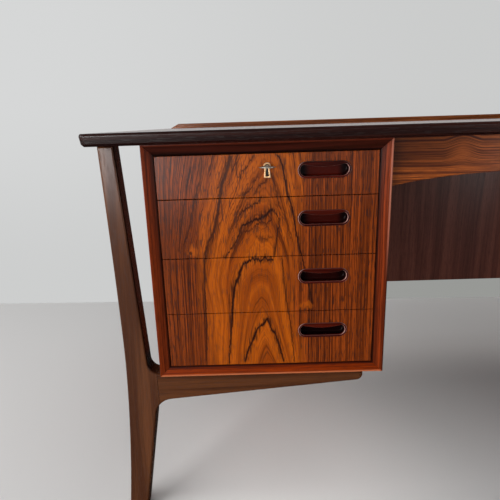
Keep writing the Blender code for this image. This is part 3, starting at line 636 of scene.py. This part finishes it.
def edgeSection(radius, thickness, steps=4):
    # pairs of inset and depth: a quarter circle, the straight edge and a second quarter circle
    angle = np.linspace(0, np.pi / 2, steps + 1)
    quarter = radius * np.stack([1 - np.sin(angle), 1 - np.cos(angle)], axis=1)
    return np.concatenate([quarter, quarter[::-1] * [1, -1] + [0, thickness]])


def layered(flat, depths, axes):
    # flat loops, each at a depth of its own, with the axes put in order
    deep = np.broadcast_to(depths[:, None, None], (*flat.shape[:2], 1))
    return np.concatenate([flat, deep], axis=2)[..., axes]


def carried(outline, near, far, radius, axes, held=None):
    # loops of the outline, inset by the rounded edge's section from the near to the far face
    section = edgeSection(radius, far - near)
    flat = outline[None] + section[:, None, :1] * insetVectors(outline, held)[None]
    return layered(flat, near + section[:, 1], axes)


def slab(outline, near, far, radius, axes=upright, held=None):
    # an outline thickened between two faces, with rounded edges
    return loft(carried(outline, near, far, radius, axes, held))


def rectangle(low, high):
    # the four corners in order
    return np.array([low, (high[0], low[1]), high, (low[0], high[1])], float)


def block(low, high, radius, axes=upright):
    # a board with rounded edges between two corners
    across, along, depth = axes.index(0), axes.index(1), axes.index(2)
    outline = filleted(rectangle((low[across], low[along]), (high[across], high[along])), radius)
    return slab(outline, low[depth], high[depth], radius, axes)


def piercedSlab(outline, holes, near, far, radius):
    # an upright slab with holes: every rim carries the rounded section, and the faces between are filled
    rims = [outline] + [hole[::-1] for hole in holes]
    points, faces, front, back, start = [], [], [], [], 0
    for rim in rims:
        loops = carried(rim, near, far, radius, upright)
        rows, columns, _ = loops.shape
        faces += (np.array(gridFaces(rows, columns)) + start).tolist()
        front += range(start, start + columns)
        back += range(start + (rows - 1) * columns, start + rows * columns)
        points.append(loops)
        start += rows * columns
    for row, places in ((0, front), (-1, back)):
        rings = [[Vector(point) for point in loops[row]] for loops in points]
        faces += [[places[corner] for corner in triple] for triple in tessellate_polygon(rings)]
    return np.concatenate([loops.reshape(-1, 3) for loops in points]), faces


def stadium(spine, radius, steps=20):
    # an oblong: round ends about the two ends of a level spine
    angle = np.linspace(-np.pi / 2, np.pi / 2, steps + 1)
    right = np.stack([spine + radius * np.cos(angle), radius * np.sin(angle)], axis=1)
    return np.concatenate([right, -right])


def addPiece(node, shells, finish):
    # one object of closed shells that stands for a CAD node, rides on its body and hides the node
    points, faces, start = [], [], 0
    for shellPoints, shellFaces in shells:
        points.append(shellPoints)
        faces += [[corner + start for corner in face] for face in shellFaces]
        start += len(shellPoints)
    name = node.replace("_", "-")
    mesh = bpy.data.meshes.new(name)
    mesh.from_pydata(np.concatenate(points).tolist(), [], faces)
    shape = bmesh.new()
    shape.from_mesh(mesh)
    bmesh.ops.remove_doubles(shape, verts=shape.verts, dist=limits["samePoint"])
    bmesh.ops.recalc_face_normals(shape, faces=shape.faces)
    shape.to_mesh(mesh)
    shape.free()
    mesh.shade_smooth()
    mesh.set_sharp_from_angle(angle=math.radians(limits["sharp"]))
    mesh.materials.append(finishes[finish])
    piece = bpy.data.objects.new(name, mesh)
    bpy.context.scene.collection.objects.link(piece)
    flatFaces = piece.modifiers.new("flatFaces", "WEIGHTED_NORMAL")
    flatFaces.keep_sharp = True
    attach(piece, frame["nodes"][node]["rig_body"])
    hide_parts(node)


def boxPiece(node, finish, radius=softEdge, axes=upright):
    # a board that fills its node's box
    low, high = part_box(node)
    addPiece(node, [block(low, high, radius, axes)], finish)


def middleOf(node):
    # the middle of a node's box
    low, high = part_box(node)
    return (low + high) / 2


# Desk top


edge = dict(
    roundIn=0.003, roundDown=0.005, face=0.016, undercut=0.002, bevelIn=0.006, width=0.009,
    corner=0.010, soft=0.0012, steps=9,
    gap=0.00015,  # along the corner's arc, on each side of the mitre
)


def lippingSection():
    # pairs of inward and down: a quarter ellipse, the leaning face, the bevel and the two hidden sides
    angle = np.linspace(0, np.pi / 2, edge["steps"])
    inward = edge["roundIn"] * (1 - np.sin(angle))
    down = edge["roundDown"] * (1 - np.cos(angle))
    corners = [
        (0.0, edge["roundDown"]),
        (edge["undercut"], edge["face"]),
        (edge["bevelIn"], deskThick),
        (edge["width"], deskThick),
        (edge["width"], 0.0),
        (edge["roundIn"], 0.0),
    ]
    soft = filleted(corners, [0, edge["soft"], edge["soft"], 0, 0, 0], 4)
    return np.concatenate([np.stack([inward, down], axis=1), soft[1:-1]])


def lipping(path, outward):
    # the section carried along a plan path, each place inset against the outward direction there
    section = lippingSection()
    flat = path[:, None] - section[None, :, :1] * outward[:, None]
    height = np.broadcast_to(deskTop - section[None, :, 1:], (*flat.shape[:2], 1))
    return loft(np.concatenate([flat, height], axis=2))


def cornerArc(centre, start, end):
    # places on a corner's arc between two angles in degrees, and the outward directions there
    angle = np.radians(np.linspace(start, end, edge["steps"]))
    outward = np.stack([np.cos(angle), np.sin(angle)], axis=1)
    return np.array(centre) + edge["corner"] * outward, outward


frontLow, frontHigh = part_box("front_lipping")
sideLow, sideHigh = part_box("left_lipping")
deskTop = frontHigh.z
deskThick = frontHigh.z - frontLow.z
cornerX = -sideLow.x - edge["corner"]
cornerY = frontLow.y + edge["corner"]
splay = math.degrees(edge["gap"] / edge["corner"])
leftArc = cornerArc((-cornerX, cornerY), 225 + splay, 270)
rightArc = cornerArc((cornerX, cornerY), 270, 315 - splay)
addPiece("front_lipping", [lipping(*(np.concatenate(pair) for pair in zip(leftArc, rightArc)))], "edgeWood")
for side, sign in sides.items():
    arcPath, arcOut = cornerArc((cornerX, cornerY), 315 + splay, 360)
    path = np.concatenate([arcPath, [(cornerX + edge["corner"], sideHigh.y)]]) * [sign, 1]
    outward = np.concatenate([arcOut, [(1, 0)]]) * [sign, 1]
    addPiece(f"{side}_lipping", [lipping(path, outward)], "endEdgeWood")

lip = dict(slope=0.027, rise=0.014, soft=0.002, rounds=[0.0005, 0.0005, 0.001, 0.006, 0.006, 0.001])
lipLow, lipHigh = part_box("back_lip")
lipCorners = [
    (lipLow.x, lipLow.z),
    (lipHigh.x, lipLow.z),
    (lipHigh.x, lipHigh.z - lip["rise"]),
    (lipHigh.x - lip["slope"], lipHigh.z),
    (lipLow.x + lip["slope"], lipHigh.z),
    (lipLow.x, lipHigh.z - lip["rise"]),
]
lipOutline = filleted(lipCorners, lip["rounds"])
addPiece("back_lip", [slab(lipOutline, lipLow.y, lipHigh.y, lip["soft"])], "lipWood")
print("desk top made")


# Leg frames


leg = dict(
    armTopOuter=0.072, armTopInner=0.045, armRootInner=0.0235, waistOuter=0.065, waistRise=0.052,
    footOuter=0.0885, footInner=0.053, kneeInner=0.0125, armFlare=1.5, footFlare=1.75,
    rootDepth=0.0565, tipDepth=0.023, endGap=0.033, joint=0.009, gap=0.0003,
    clear=0.0006,  # points nearer to the joint than this are left out
    edgeRound=0.004, kneeRound=0.034, armRound=0.022, tipRound=0.012, tipTopRound=0.002,
    steps=24, arcSteps=12,
)
outerLow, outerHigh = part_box("right_outer_side")
pedestal = dict(
    outer=outerHigh.x, inner=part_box("right_inner_side")[0].x, front=outerLow.y, back=outerHigh.y,
    foot=outerLow.z, head=outerHigh.z, side=0.0185, bottom=0.016, top=0.018, bevel=0.008, arris=0.0015,
    rounds=[0.0008, 0.0008, 0.0004, 0.001, 0.001], fit=0.0003, shelfSoft=0.0012,
)


def legOutline():
    # outwards from the pedestal and up from the floor; the outer edge is two power curves that meet
    # at the waist, flare = share^power, and the other corners are rounded by arcs
    waist = pedestal["foot"] + leg["waistRise"]
    share = np.linspace(1, 0, leg["steps"], endpoint=False)
    arm = leg["waistOuter"] + (leg["armTopOuter"] - leg["waistOuter"]) * share ** leg["armFlare"]
    armEdge = np.stack([arm, waist + (pedestal["head"] - waist) * share], axis=1)
    share = np.linspace(0, 1, leg["steps"] + 1)
    foot = leg["waistOuter"] + (leg["footOuter"] - leg["waistOuter"]) * share ** leg["footFlare"]
    footEdge = np.stack([foot, waist * (1 - share)], axis=1)
    top = pedestal["foot"] - pedestal["fit"]
    tip = -(pedestal["outer"] - pedestal["inner"] - leg["endGap"])
    rest = [
        (leg["footInner"], 0.0),
        (leg["kneeInner"], pedestal["foot"] - leg["rootDepth"]),
        (tip, pedestal["foot"] - leg["tipDepth"]),
        (tip, top),
        (leg["armRootInner"], top),
        (leg["armTopInner"], pedestal["head"]),
    ]
    corners = np.concatenate([armEdge, footEdge, rest])
    rounds = [0, leg["kneeRound"], leg["tipRound"], leg["tipTopRound"], leg["armRound"], 0]
    radii = np.concatenate([np.zeros(len(armEdge) + len(footEdge)), rounds])
    return filleted(corners, radii, leg["arcSteps"])


def beyondLine(outline, line, direction):
    # the part of a closed outline on one side of an upright line, with its two crossing points
    before = np.roll(outline, 1, axis=0)
    crosses = (outline[:, 0] - line) * (before[:, 0] - line) < 0
    step = outline[:, 0] - before[:, 0]
    share = np.divide(line - before[:, 0], step, where=crosses, out=np.zeros(len(outline)))
    crossing = before + (outline - before) * share[:, None]
    both = np.stack([crossing, outline], axis=1).reshape(-1, 2)
    beyond = direction * (outline[:, 0] - line) > leg["clear"]
    return both[np.stack([crosses, beyond], axis=1).reshape(-1)]


def legPiece(node, sign, line, direction, finish):
    # one side of the joint as a slab with rounded edges, apart from its end face at the joint
    low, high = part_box(node)
    half = beyondLine(legOutline(), line, direction)
    outline = np.stack([sign * (pedestal["outer"] + half[:, 0]), half[:, 1]], axis=1)
    area = np.sum(outline[:, 0] * np.roll(outline[:, 1], -1) - outline[:, 1] * np.roll(outline[:, 0], -1))
    outline = outline if area > 0 else outline[::-1]
    atJoint = np.abs(outline[:, 0] - sign * (pedestal["outer"] + line)) < limits["onLine"]
    held = (atJoint & np.roll(atJoint, -1)).astype(float)
    addPiece(node, [slab(outline, low.y, high.y, leg["edgeRound"], upright, held)], finish)


for side, sign in sides.items():
    for end in ("front", "back"):
        legPiece(f"{end}_{side}_leg", sign, leg["joint"] + leg["gap"] / 2, 1, "legWood")
        legPiece(f"{end}_{side}_bearer", sign, leg["joint"] - leg["gap"] / 2, -1, "bearerWood")
print("leg frames made")


# Pedestals and bookcase


runner = dict(height=0.012, proud=0.007, start=0.045, length=0.4327, root=0.001, soft=0.0006)


def boardSection(thickness):
    # pairs of inward and Y round a board: a front edge that slopes back from a narrow arris
    corners = [
        (0.0, pedestal["front"]),
        (pedestal["arris"], pedestal["front"]),
        (thickness, pedestal["front"] + pedestal["bevel"]),
        (thickness, pedestal["back"]),
        (0.0, pedestal["back"]),
    ]
    return filleted(corners, pedestal["rounds"], 4)


def mitredBoard(thickness, outside, direction, ends, meeting):
    # a board's section carried between two ends that lean inwards to meet boards of the given thicknesses;
    # the columns of the result are the distance inwards, Y and the place between the ends
    section = boardSection(thickness)
    share = section[:, 0] / thickness
    between = np.stack([ends[0] + share * meeting[0], ends[1] - share * meeting[1]])
    inward = np.broadcast_to(outside + direction * section[:, 0], between.shape)
    return np.stack([inward, np.broadcast_to(section[:, 1], between.shape), between], axis=2)


def runnerBlocks(side, sign, face, direction):
    # a runner at the middle height of each drawer's tray, let a little into the board's face
    root, tip = sign * (face - direction * runner["root"]), sign * (face + direction * runner["proud"])
    nearY = pedestal["front"] + runner["start"]
    blocks = []
    for row in range(1, 5):
        middle = middleOf(f"{side}_drawer_{row}_tray").z
        low = (min(root, tip), nearY, middle - runner["height"] / 2)
        high = (max(root, tip), nearY + runner["length"], middle + runner["height"] / 2)
        blocks.append(block(low, high, runner["soft"]))
    return blocks


for side, sign in sides.items():
    ends, meeting = (pedestal["foot"], pedestal["head"]), (pedestal["bottom"], pedestal["top"])
    for which, outside, direction in (("outer", pedestal["outer"], -1), ("inner", pedestal["inner"], 1)):
        board = loft(mitredBoard(pedestal["side"], outside, direction, ends, meeting) * [sign, 1, 1])
        runners = runnerBlocks(side, sign, outside + direction * pedestal["side"], direction)
        addPiece(f"{side}_{which}_side", [board, *runners], which + "SideWood")
    ends = (pedestal["inner"] + pedestal["fit"], pedestal["outer"] - pedestal["fit"])
    meeting = (pedestal["side"], pedestal["side"])
    bottom = mitredBoard(pedestal["bottom"], pedestal["foot"], 1, ends, meeting)[..., [2, 1, 0]]
    addPiece(f"{side}_bottom_board", [loft(bottom * [sign, 1, 1])], "frontRail")
    if side == "right":
        top = mitredBoard(pedestal["top"], pedestal["head"], -1, ends, meeting)[..., [2, 1, 0]]
        addPiece("right_top_board", [loft(top)], "topRailShaded")
    boxPiece(f"{side}_partition", "panelVeneer")
    boxPiece(f"{side}_shelf", "shelfVeneer", pedestal["shelfSoft"], level)
boxPiece("bookcase_bottom", "shelfVeneer", pedestal["shelfSoft"], level)
boxPiece("middle_shelf", "shelfVeneer", pedestal["shelfSoft"], level)
boxPiece("modesty_panel", "panelVeneer")

apron = dict(endHeight=0.080, rise=0.022, power=3.5, steps=64, soft=0.0012)
apronLow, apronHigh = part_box("apron_rail")
apronX = np.linspace(apronLow.x, apronHigh.x, apron["steps"] + 1)
apronLift = apron["rise"] * (1 - np.abs(apronX / apronHigh.x) ** apron["power"])
arch = np.stack([apronX, apronHigh.z - apron["endHeight"] + apronLift], axis=1)
apronOutline = np.concatenate([arch, [(apronHigh.x, apronHigh.z), (apronLow.x, apronHigh.z)]])
addPiece("apron_rail", [slab(apronOutline, apronLow.y, apronHigh.y, apron["soft"])], "apronWood")
print("pedestals and kneehole made")


# Drawers


drawer = dict(cornerRound=0.0008, soft=0.0005)
pull = dict(
    spine=0.030, outer=0.0135, cavity=0.0103, mouth=0.0100, fit=0.0003, proud=0.0008, bead=0.0015,
    lip=0.005, undercut=0.0004, floor=0.015, floorRound=0.003, back=0.018, lipEdge=0.009, sag=0.0045,
    endSteps=24, sideSteps=18, rimSteps=6,
)
keyHole = dict(eye=0.0036, neck=0.0016, foot=0.0030, drop=0.0160, border=0.0026, axis=0.0205, steps=33)


def keyholeOutline(grow):
    # a round eye over a slot that widens downwards, grown outwards by a border
    radius, neck = keyHole["eye"] + grow, keyHole["neck"] + grow
    foot, drop = keyHole["foot"] + grow, keyHole["drop"] + grow
    bend = math.asin(neck / radius)
    angle = np.linspace(-np.pi / 2 + bend, 3 * np.pi / 2 - bend, keyHole["steps"])
    eye = radius * np.stack([np.cos(angle), np.sin(angle)], axis=1)
    return np.concatenate([eye, [(-foot, -drop), (foot, -drop)]])


def pullSpine():
    # places on a level spine and the outward directions there: a half turn at each end, up or down between
    ends = stadium(0.0, 1.0, pull["endSteps"])
    half = len(ends) // 2
    between = np.linspace(1, -1, pull["sideSteps"] + 1)[1:-1]
    place = np.concatenate([np.ones(half), between, -np.ones(half), -between]) * pull["spine"]
    up = np.tile([[0.0, 1.0]], (len(between), 1))
    outward = np.concatenate([ends[:half], up, ends[half:], -up])
    return np.stack([place, np.zeros(len(place))], axis=1), outward


def pullShell(across, face, up):
    # loops about a level spine: the outer oblong, a rounded rim, the mouth with its sagging lip,
    # the undercut hollow and its floor; the mouth's edge is the lower of its oblong and the sag's parabola
    spine, outward = pullSpine()
    outer = spine + pull["outer"] * outward
    mouth = spine + pull["mouth"] * outward
    reach = pull["spine"] + math.sqrt(pull["mouth"] ** 2 - pull["lipEdge"] ** 2)
    sag = pull["lipEdge"] - pull["sag"] * (1 - (mouth[:, 0] / reach) ** 2)
    mouth[:, 1] = np.minimum(mouth[:, 1], np.where(np.abs(mouth[:, 0]) < reach, sag, 1.0))
    toOuter = (outer - mouth) / np.linalg.norm(outer - mouth, axis=1, keepdims=True)
    angle = np.linspace(0, np.pi / 2, pull["rimSteps"])
    slow, quick = 1 - np.cos(angle), 1 - np.sin(angle)
    bead, crest = pull["bead"], -pull["proud"]
    hollow = pull["cavity"] - pull["floorRound"] * slow
    loops = [
        outer[None],
        outer - toOuter * bead * slow[:, None, None],
        mouth + toOuter * bead * quick[:, None, None],
        mouth[None],
        spine[None] + pull["cavity"] * outward,
        spine + hollow[:, None, None] * outward,
    ]
    depths = [
        [pull["back"]],
        crest + bead * quick,
        crest + bead * slow,
        [pull["lip"]],
        [pull["lip"] + pull["undercut"]],
        pull["floor"] - pull["floorRound"] * quick,
    ]
    return loft(layered(np.concatenate(loops), np.concatenate(depths), upright) + [across, face, up])


tray = dict(
    wall=0.012, bottom=0.006, groove=0.007, grooveHeight=0.0126,
    letIn=0.003,  # the bottom and back into the sides
    bottomGap=0.0004, backInset=0.006, backLift=0.003, drop=0.003,
    rounds=[0.0008, 0.0005, 0.0003, 0.0003, 0.0005, 0.0015, 0.0015, 0.0003],
    sideSoft=0.0006, bottomSoft=0.0004, backSoft=0.0012,
)


def trayShells(node):
    # two grooved sides, a bottom let into them and a back between them
    low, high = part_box(node)
    middle = (low.x + high.x) / 2
    half = high.x - middle
    inside = half - tray["wall"]
    centre = (low.z + high.z) / 2
    grooveLow, grooveHigh = centre - tray["grooveHeight"] / 2, centre + tray["grooveHeight"] / 2
    corners = [
        (half, low.z),
        (half, grooveLow),
        (half - tray["groove"], grooveLow),
        (half - tray["groove"], grooveHigh),
        (half, grooveHigh),
        (half, high.z),
        (inside, high.z),
        (inside, low.z),
    ]
    section = filleted(corners, tray["rounds"], 4)
    mirrored = section[::-1] * [-1, 1]
    shells = [slab(outline + [middle, 0], low.y, high.y, tray["sideSoft"]) for outline in (section, mirrored)]
    leftX, rightX = middle - inside - tray["letIn"], middle + inside + tray["letIn"]
    backFar = high.y - tray["backInset"]
    bottomLow = (leftX, low.y + tray["bottomGap"], low.z + tray["bottomGap"])
    shells.append(block(bottomLow, (rightX, backFar, low.z + tray["bottom"]), tray["bottomSoft"], level))
    backLow = (leftX, backFar - tray["wall"], low.z + tray["backLift"])
    shells.append(block(backLow, (rightX, backFar, high.z - tray["drop"]), tray["backSoft"]))
    return shells


keyX = middleOf("left_drawer_1_front").x
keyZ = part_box("left_drawer_1_front")[1].z - keyHole["axis"]
for side in sides:
    for row in range(1, 5):
        name = f"{side}_drawer_{row}"
        low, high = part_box(f"{name}_front")
        middle = middleOf(f"{name}_pull")
        corners = rectangle((low.x, low.z), (high.x, high.z))
        holes = [stadium(pull["spine"], pull["outer"] + pull["fit"]) + [middle.x, middle.z]]
        if name == "left_drawer_1":
            holes.append(keyholeOutline(0.0) + [keyX, keyZ])
        outline = filleted(corners, drawer["cornerRound"], 4)
        shell = piercedSlab(outline, holes, low.y, high.y, drawer["soft"])
        addPiece(f"{name}_front", [shell], "drawerVeneer")
        addPiece(f"{name}_pull", [pullShell(middle.x, low.y, middle.z)], "pullWood")
        addPiece(f"{name}_tray", trayShells(f"{name}_tray"), "trayWood")
print("drawers made")


# Lock and key


plate = dict(soft=0.0005, steps=5)
plateLow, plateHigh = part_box("escutcheon")
angle = np.linspace(0, np.pi / 2, plate["steps"])
plateRim = plate["soft"] * np.stack([1 - np.cos(angle), 1 - np.sin(angle)], axis=1)
plateInset = np.concatenate([[(0.0, plateHigh.y - plateLow.y)], plateRim])
plateRows = [keyholeOutline(keyHole["border"] - inset) for inset, _ in plateInset]
plateRows += [keyholeOutline(inset) for inset, _ in plateInset[::-1]]
plateDepth = np.concatenate([plateInset[:, 1], plateInset[::-1, 1]]) + plateLow.y
plateLoops = layered(np.stack(plateRows) + [keyX, keyZ], plateDepth, upright)
addPiece("escutcheon", [loft(plateLoops, True)], "escutcheonMetal")

key = dict(
    halfWide=0.014, halfLong=0.010, rim=0.0024, thick=0.0016, taper=0.45,
    stem=0.0024, stemStart=0.0100, tip=0.0003, tipShare=0.85,
    bitReach=0.0066, bitThick=0.0010, bitWidth=0.0024, bitStart=0.0204, bitSoft=0.0002,
    bowSteps=72, rimSteps=16, stemSteps=24,
)
# pairs of distance from the stem's start and share of its radius
key["collar"] = [(0.0, 0.6), (0.0, 1.0), (0.0012, 1.0), (0.0016, 1.15), (0.0022, 1.29)]
key["collar"] += [(0.0034, 1.29), (0.0040, 1.15), (0.0046, 1.0), (0.0052, 1.0)]
keyLow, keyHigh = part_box("key")


def keyBow():
    # a ring: an ellipse in plan carries an oval section, thinner towards the two ends
    around = np.linspace(0, 2 * np.pi, key["bowSteps"], endpoint=False)[:, None]
    ring = np.linspace(0, 2 * np.pi, key["rimSteps"], endpoint=False)[None, :]
    wide, long = key["halfWide"] - key["rim"], key["halfLong"] - key["rim"]
    normal = np.stack([np.cos(around) / wide, np.sin(around) / long])
    normal = normal / np.linalg.norm(normal, axis=0)
    x = keyX + wide * np.cos(around) + key["rim"] * np.cos(ring) * normal[0]
    y = keyLow.y + key["halfLong"] + long * np.sin(around) + key["rim"] * np.cos(ring) * normal[1]
    z = keyZ + key["thick"] * np.sin(ring) * (1 - key["taper"] * np.cos(around) ** 2)
    return loft(np.stack([x, y, np.broadcast_to(z, x.shape)], axis=2), True)


def keyStem():
    # radii along Y turned about the key's axis, with a collar before the plate
    collar = np.array(key["collar"]) + [drawerFace - key["stemStart"], 0]
    tip = [(keyHigh.y - key["tip"], 1.0), (keyHigh.y, key["tipShare"])]
    place, share = np.split(np.concatenate([collar, tip]), 2, axis=1)
    angle = np.linspace(0, 2 * np.pi, key["stemSteps"], endpoint=False)
    x = keyX + key["stem"] * share * np.cos(angle)
    z = keyZ + key["stem"] * share * np.sin(angle)
    return loft(np.stack([x, np.broadcast_to(place, x.shape), z], axis=2))


bitY = drawerFace + key["bitStart"]
bitLow = (keyX, bitY, keyZ - key["bitThick"])
bitHigh = (keyX + key["bitReach"], bitY + key["bitWidth"], keyZ + key["bitThick"])
addPiece("key", [keyBow(), keyStem(), block(bitLow, bitHigh, key["bitSoft"])], "keyMetal")

keptNodes = {
    "top_panel": "topVeneer",
    "left_top_board": "topRailShaded",
    "lock_case": "lockMetal",
    "lock_bolt": "lockMetal",
}
for node, finish in keptNodes.items():
    solid = frame["nodes"][node]
    solid.data.materials.clear()
    solid.data.materials.append(finishes[finish])
print("lock and key made")


# Stage, light and camera


stage = dict(reach=9.0, wallY=0.717, wallSlant=0.041, wallHeight=4.0)
# painted light in a pool under the left pedestal and behind the desk on the right; painted shade on the right
# side
floorLook = dict(
    plain=tone(215, 214, 213), bright=tone(248, 246, 244), dim=tone(184, 181, 181),
    mirrored=tone(40, 38, 37), rough=0.6, lightPool=(-0.52, -0.28), lightPoolReach=(0.44, 0.08),
    shadowRight=(-0.25, 0.25), litBack=(0.05, 0.3), litBackRight=(-0.5, -0.1),
)
# painted shade to the right and low down, and a painted shadow of the desk
wallLook = dict(
    light=tone(214, 215, 215), shaded=tone(190, 191, 190),
    right=(-1.6, 0.4), rightShadeShare=0.5, low=(0.9, 0.1), lowShadeShare=0.4,
    deskShadowLeft=(-0.45, 0.0), deskShadowRight=(1.8, 1.0), deskShadowLow=(0.7, 0.3), deskShadowShare=1.4,
)


def plane(name, corners, finish):
    # one flat face of the stage
    mesh = bpy.data.meshes.new(name)
    mesh.from_pydata(corners, [], [(0, 1, 2, 3)])
    mesh.materials.append(finish)
    sheet = bpy.data.objects.new(name, mesh)
    bpy.context.scene.collection.objects.link(sheet)


def floorFinish():
    # pale to the camera, with painted light in a pool under the left pedestal and behind the desk on the
    # right, painted shade on the right side, and dim in the lacquer's reflections
    finish, shader, parts = newFinish("paleFloor")
    lightPoolX, lightPoolY = floorLook["lightPool"]
    fromLightPool = ((parts[0] - lightPoolX) ** 2 + (parts[1] - lightPoolY) ** 2) ** 0.5
    colour = parts[0].rise(*floorLook["shadowRight"]).blend(floorLook["plain"], floorLook["dim"])
    colour = fromLightPool.rise(*floorLook["lightPoolReach"]).blend(colour, floorLook["bright"])
    behind = parts[1].rise(*floorLook["litBack"]) * parts[0].rise(*floorLook["litBackRight"])
    colour = behind.blend(colour, floorLook["bright"])
    glossy = behind.add("LightPath", output="Is Glossy Ray")
    plug(shader, Base_Color=glossy.blend(colour, floorLook["mirrored"]), Roughness=floorLook["rough"])
    return finish


def wallFinish():
    # a backdrop that only the camera and reflections see, from the front, with painted shade to the right and
    # low down and a painted shadow of the desk behind it
    finish = bpy.data.materials.new("paleWall")
    finish.use_nodes = True
    tree = finish.node_tree
    tree.nodes.clear()
    start = Wire(tree)
    across, _, up = start.add("TexCoord", output="Object").split()
    shade = across.rise(*wallLook["right"]) * wallLook["rightShadeShare"]
    shade = shade + up.rise(*wallLook["low"]) * wallLook["lowShadeShare"]
    deskShadow = across.rise(*wallLook["deskShadowLeft"]) * across.rise(*wallLook["deskShadowRight"])
    shade = shade + deskShadow * up.rise(*wallLook["deskShadowLow"]) * wallLook["deskShadowShare"]
    tones = {0: shade, 6: wallLook["light"], 7: wallLook["shaded"]}
    colour = shade.add("Mix", {"data_type": "RGBA", "clamp_factor": False}, tones, 2)
    glow = start.add("Emission", {}, {"Color": colour, "Strength": 1.0})
    clear = start.add("BsdfTransparent")
    seen = start.add("LightPath", output="Is Camera Ray")
    for kind in ("Is Glossy Ray", "Is Transmission Ray"):
        seen = seen.math("MAXIMUM", seen, start.add("LightPath", output=kind))
    shown = seen * (1 - start.add("NewGeometry", output="Backfacing"))
    mixed = start.add("MixShader", {}, {0: shown, 1: clear, 2: glow})
    out = tree.nodes.new("ShaderNodeOutputMaterial")
    tree.links.new(mixed.socket, out.inputs[0])
    return finish


reach = stage["reach"]
far = stage["wallY"] + reach * stage["wallSlant"]
near = stage["wallY"] - reach * stage["wallSlant"]
top = stage["wallHeight"]
corners = [(-reach, -reach, 0), (reach, -reach, 0), (reach, reach, 0), (-reach, reach, 0)]
plane("floor", corners, floorFinish())
corners = [(-reach, far, 0), (reach, near, 0), (reach, near, top), (-reach, far, top)]
plane("wall", corners, wallFinish())

sky = dict(bright=0.36, dim=0.02, front=(-0.1, 0.6), low=(0.75, 0.25), seen=tone(208, 209, 209))


def makeWorld():
    # soft light from above and behind, dim towards the front; the camera sees one pale tone
    world = bpy.data.worlds.new("studio")
    world.use_nodes = True
    start = Wire(world.node_tree)
    _, back, up = start.add("TexCoord", output="Generated").split()
    front = (0 - back).rise(*sky["front"]) * up.rise(*sky["low"])
    bright = sky["bright"] + front * (sky["dim"] - sky["bright"])
    grey = bright.add("CombineColor", {}, {0: bright, 1: bright, 2: bright})
    camera = start.add("LightPath", output="Is Camera Ray")
    plug(world.node_tree.nodes["Background"], Color=camera.blend(grey, sky["seen"]), Strength=1.0)
    bpy.context.scene.world = world


def addLamp(name, lamp):
    # a rectangular lamp turned towards the point that it aims at
    light = bpy.data.lights.new(name, "AREA")
    light.shape = "RECTANGLE"
    light.size, light.size_y = lamp["size"]
    light.energy = lamp["power"]
    holder = bpy.data.objects.new(name, light)
    aim = Vector(lamp["aim"]) - Vector(lamp["place"])
    turned = aim.to_track_quat("-Z", "Y").to_matrix().to_4x4()
    holder.matrix_world = Matrix.Translation(lamp["place"]) @ turned
    holder.visible_diffuse = lamp.get("diffuse", True)
    holder.visible_glossy = lamp.get("glossy", True)
    bpy.context.scene.collection.objects.link(holder)


lamps = {
    "window": dict(place=(-4.2, -2.3, 1.4), aim=(-0.4, -0.3, 0.3), size=(3.6, 2.6), power=228.0),
    "doorway": dict(place=(-1.65, -2.3, 0.66), aim=(-0.83, -0.39, 0.6), size=(0.7, 0.5), power=56.0),
    "pane": dict(place=(-1.03, -2.3, 0.55), aim=(-0.7, -0.39, 0.6), size=(0.5, 0.5), power=4.5),
    "strip": dict(place=(-0.2, -2.3, 0.6), aim=(-0.5, -0.39, 0.6), size=(1.1, 0.5), power=2.8),
    "hall": dict(place=(1.35, -2.3, 0.52), aim=(-0.05, -0.37, 0.66), size=(0.6, 0.4), power=19.0),
    "fill": dict(place=(-0.9, -3.2, 0.9), aim=(-0.3, -0.2, 0.2), size=(2.4, 1.2), power=20.0),
    "overhead": dict(place=(-0.6, -1.2, 3.0), aim=(-0.2, 0.0, 0.4), size=(2.4, 2.4), power=12.0),
}
for name in ("doorway", "pane", "strip", "hall"):  # these show only in reflections
    lamps[name]["diffuse"] = False
for name in ("fill", "overhead"):
    lamps[name]["glossy"] = False
makeWorld()
for name, lamp in lamps.items():
    addLamp(name, lamp)

shot = dict(
    place=(-0.5895, -1.1347, 0.7474), down=15.44, turn=0.38, roll=1.79,  # angles in degrees
    focal=457.0, frame=500.0, sensor=36.0,  # the focal length in pixels of a frame that many wide
)
lens = bpy.data.cameras.new("camera")
lens.sensor_width = shot["sensor"]
lens.lens = shot["focal"] / shot["frame"] * lens.sensor_width
camera = bpy.data.objects.new("camera", lens)
pose = Matrix.Rotation(math.radians(shot["turn"]), 4, "Z")
pose = pose @ Matrix.Rotation(math.radians(90 - shot["down"]), 4, "X")
pose = pose @ Matrix.Rotation(math.radians(-shot["roll"]), 4, "Z")
camera.matrix_world = Matrix.Translation(shot["place"]) @ pose
bpy.context.scene.collection.objects.link(camera)
bpy.context.scene.camera = camera
bpy.context.scene.view_settings.view_transform = "Standard"

print("stage, lights and camera made")
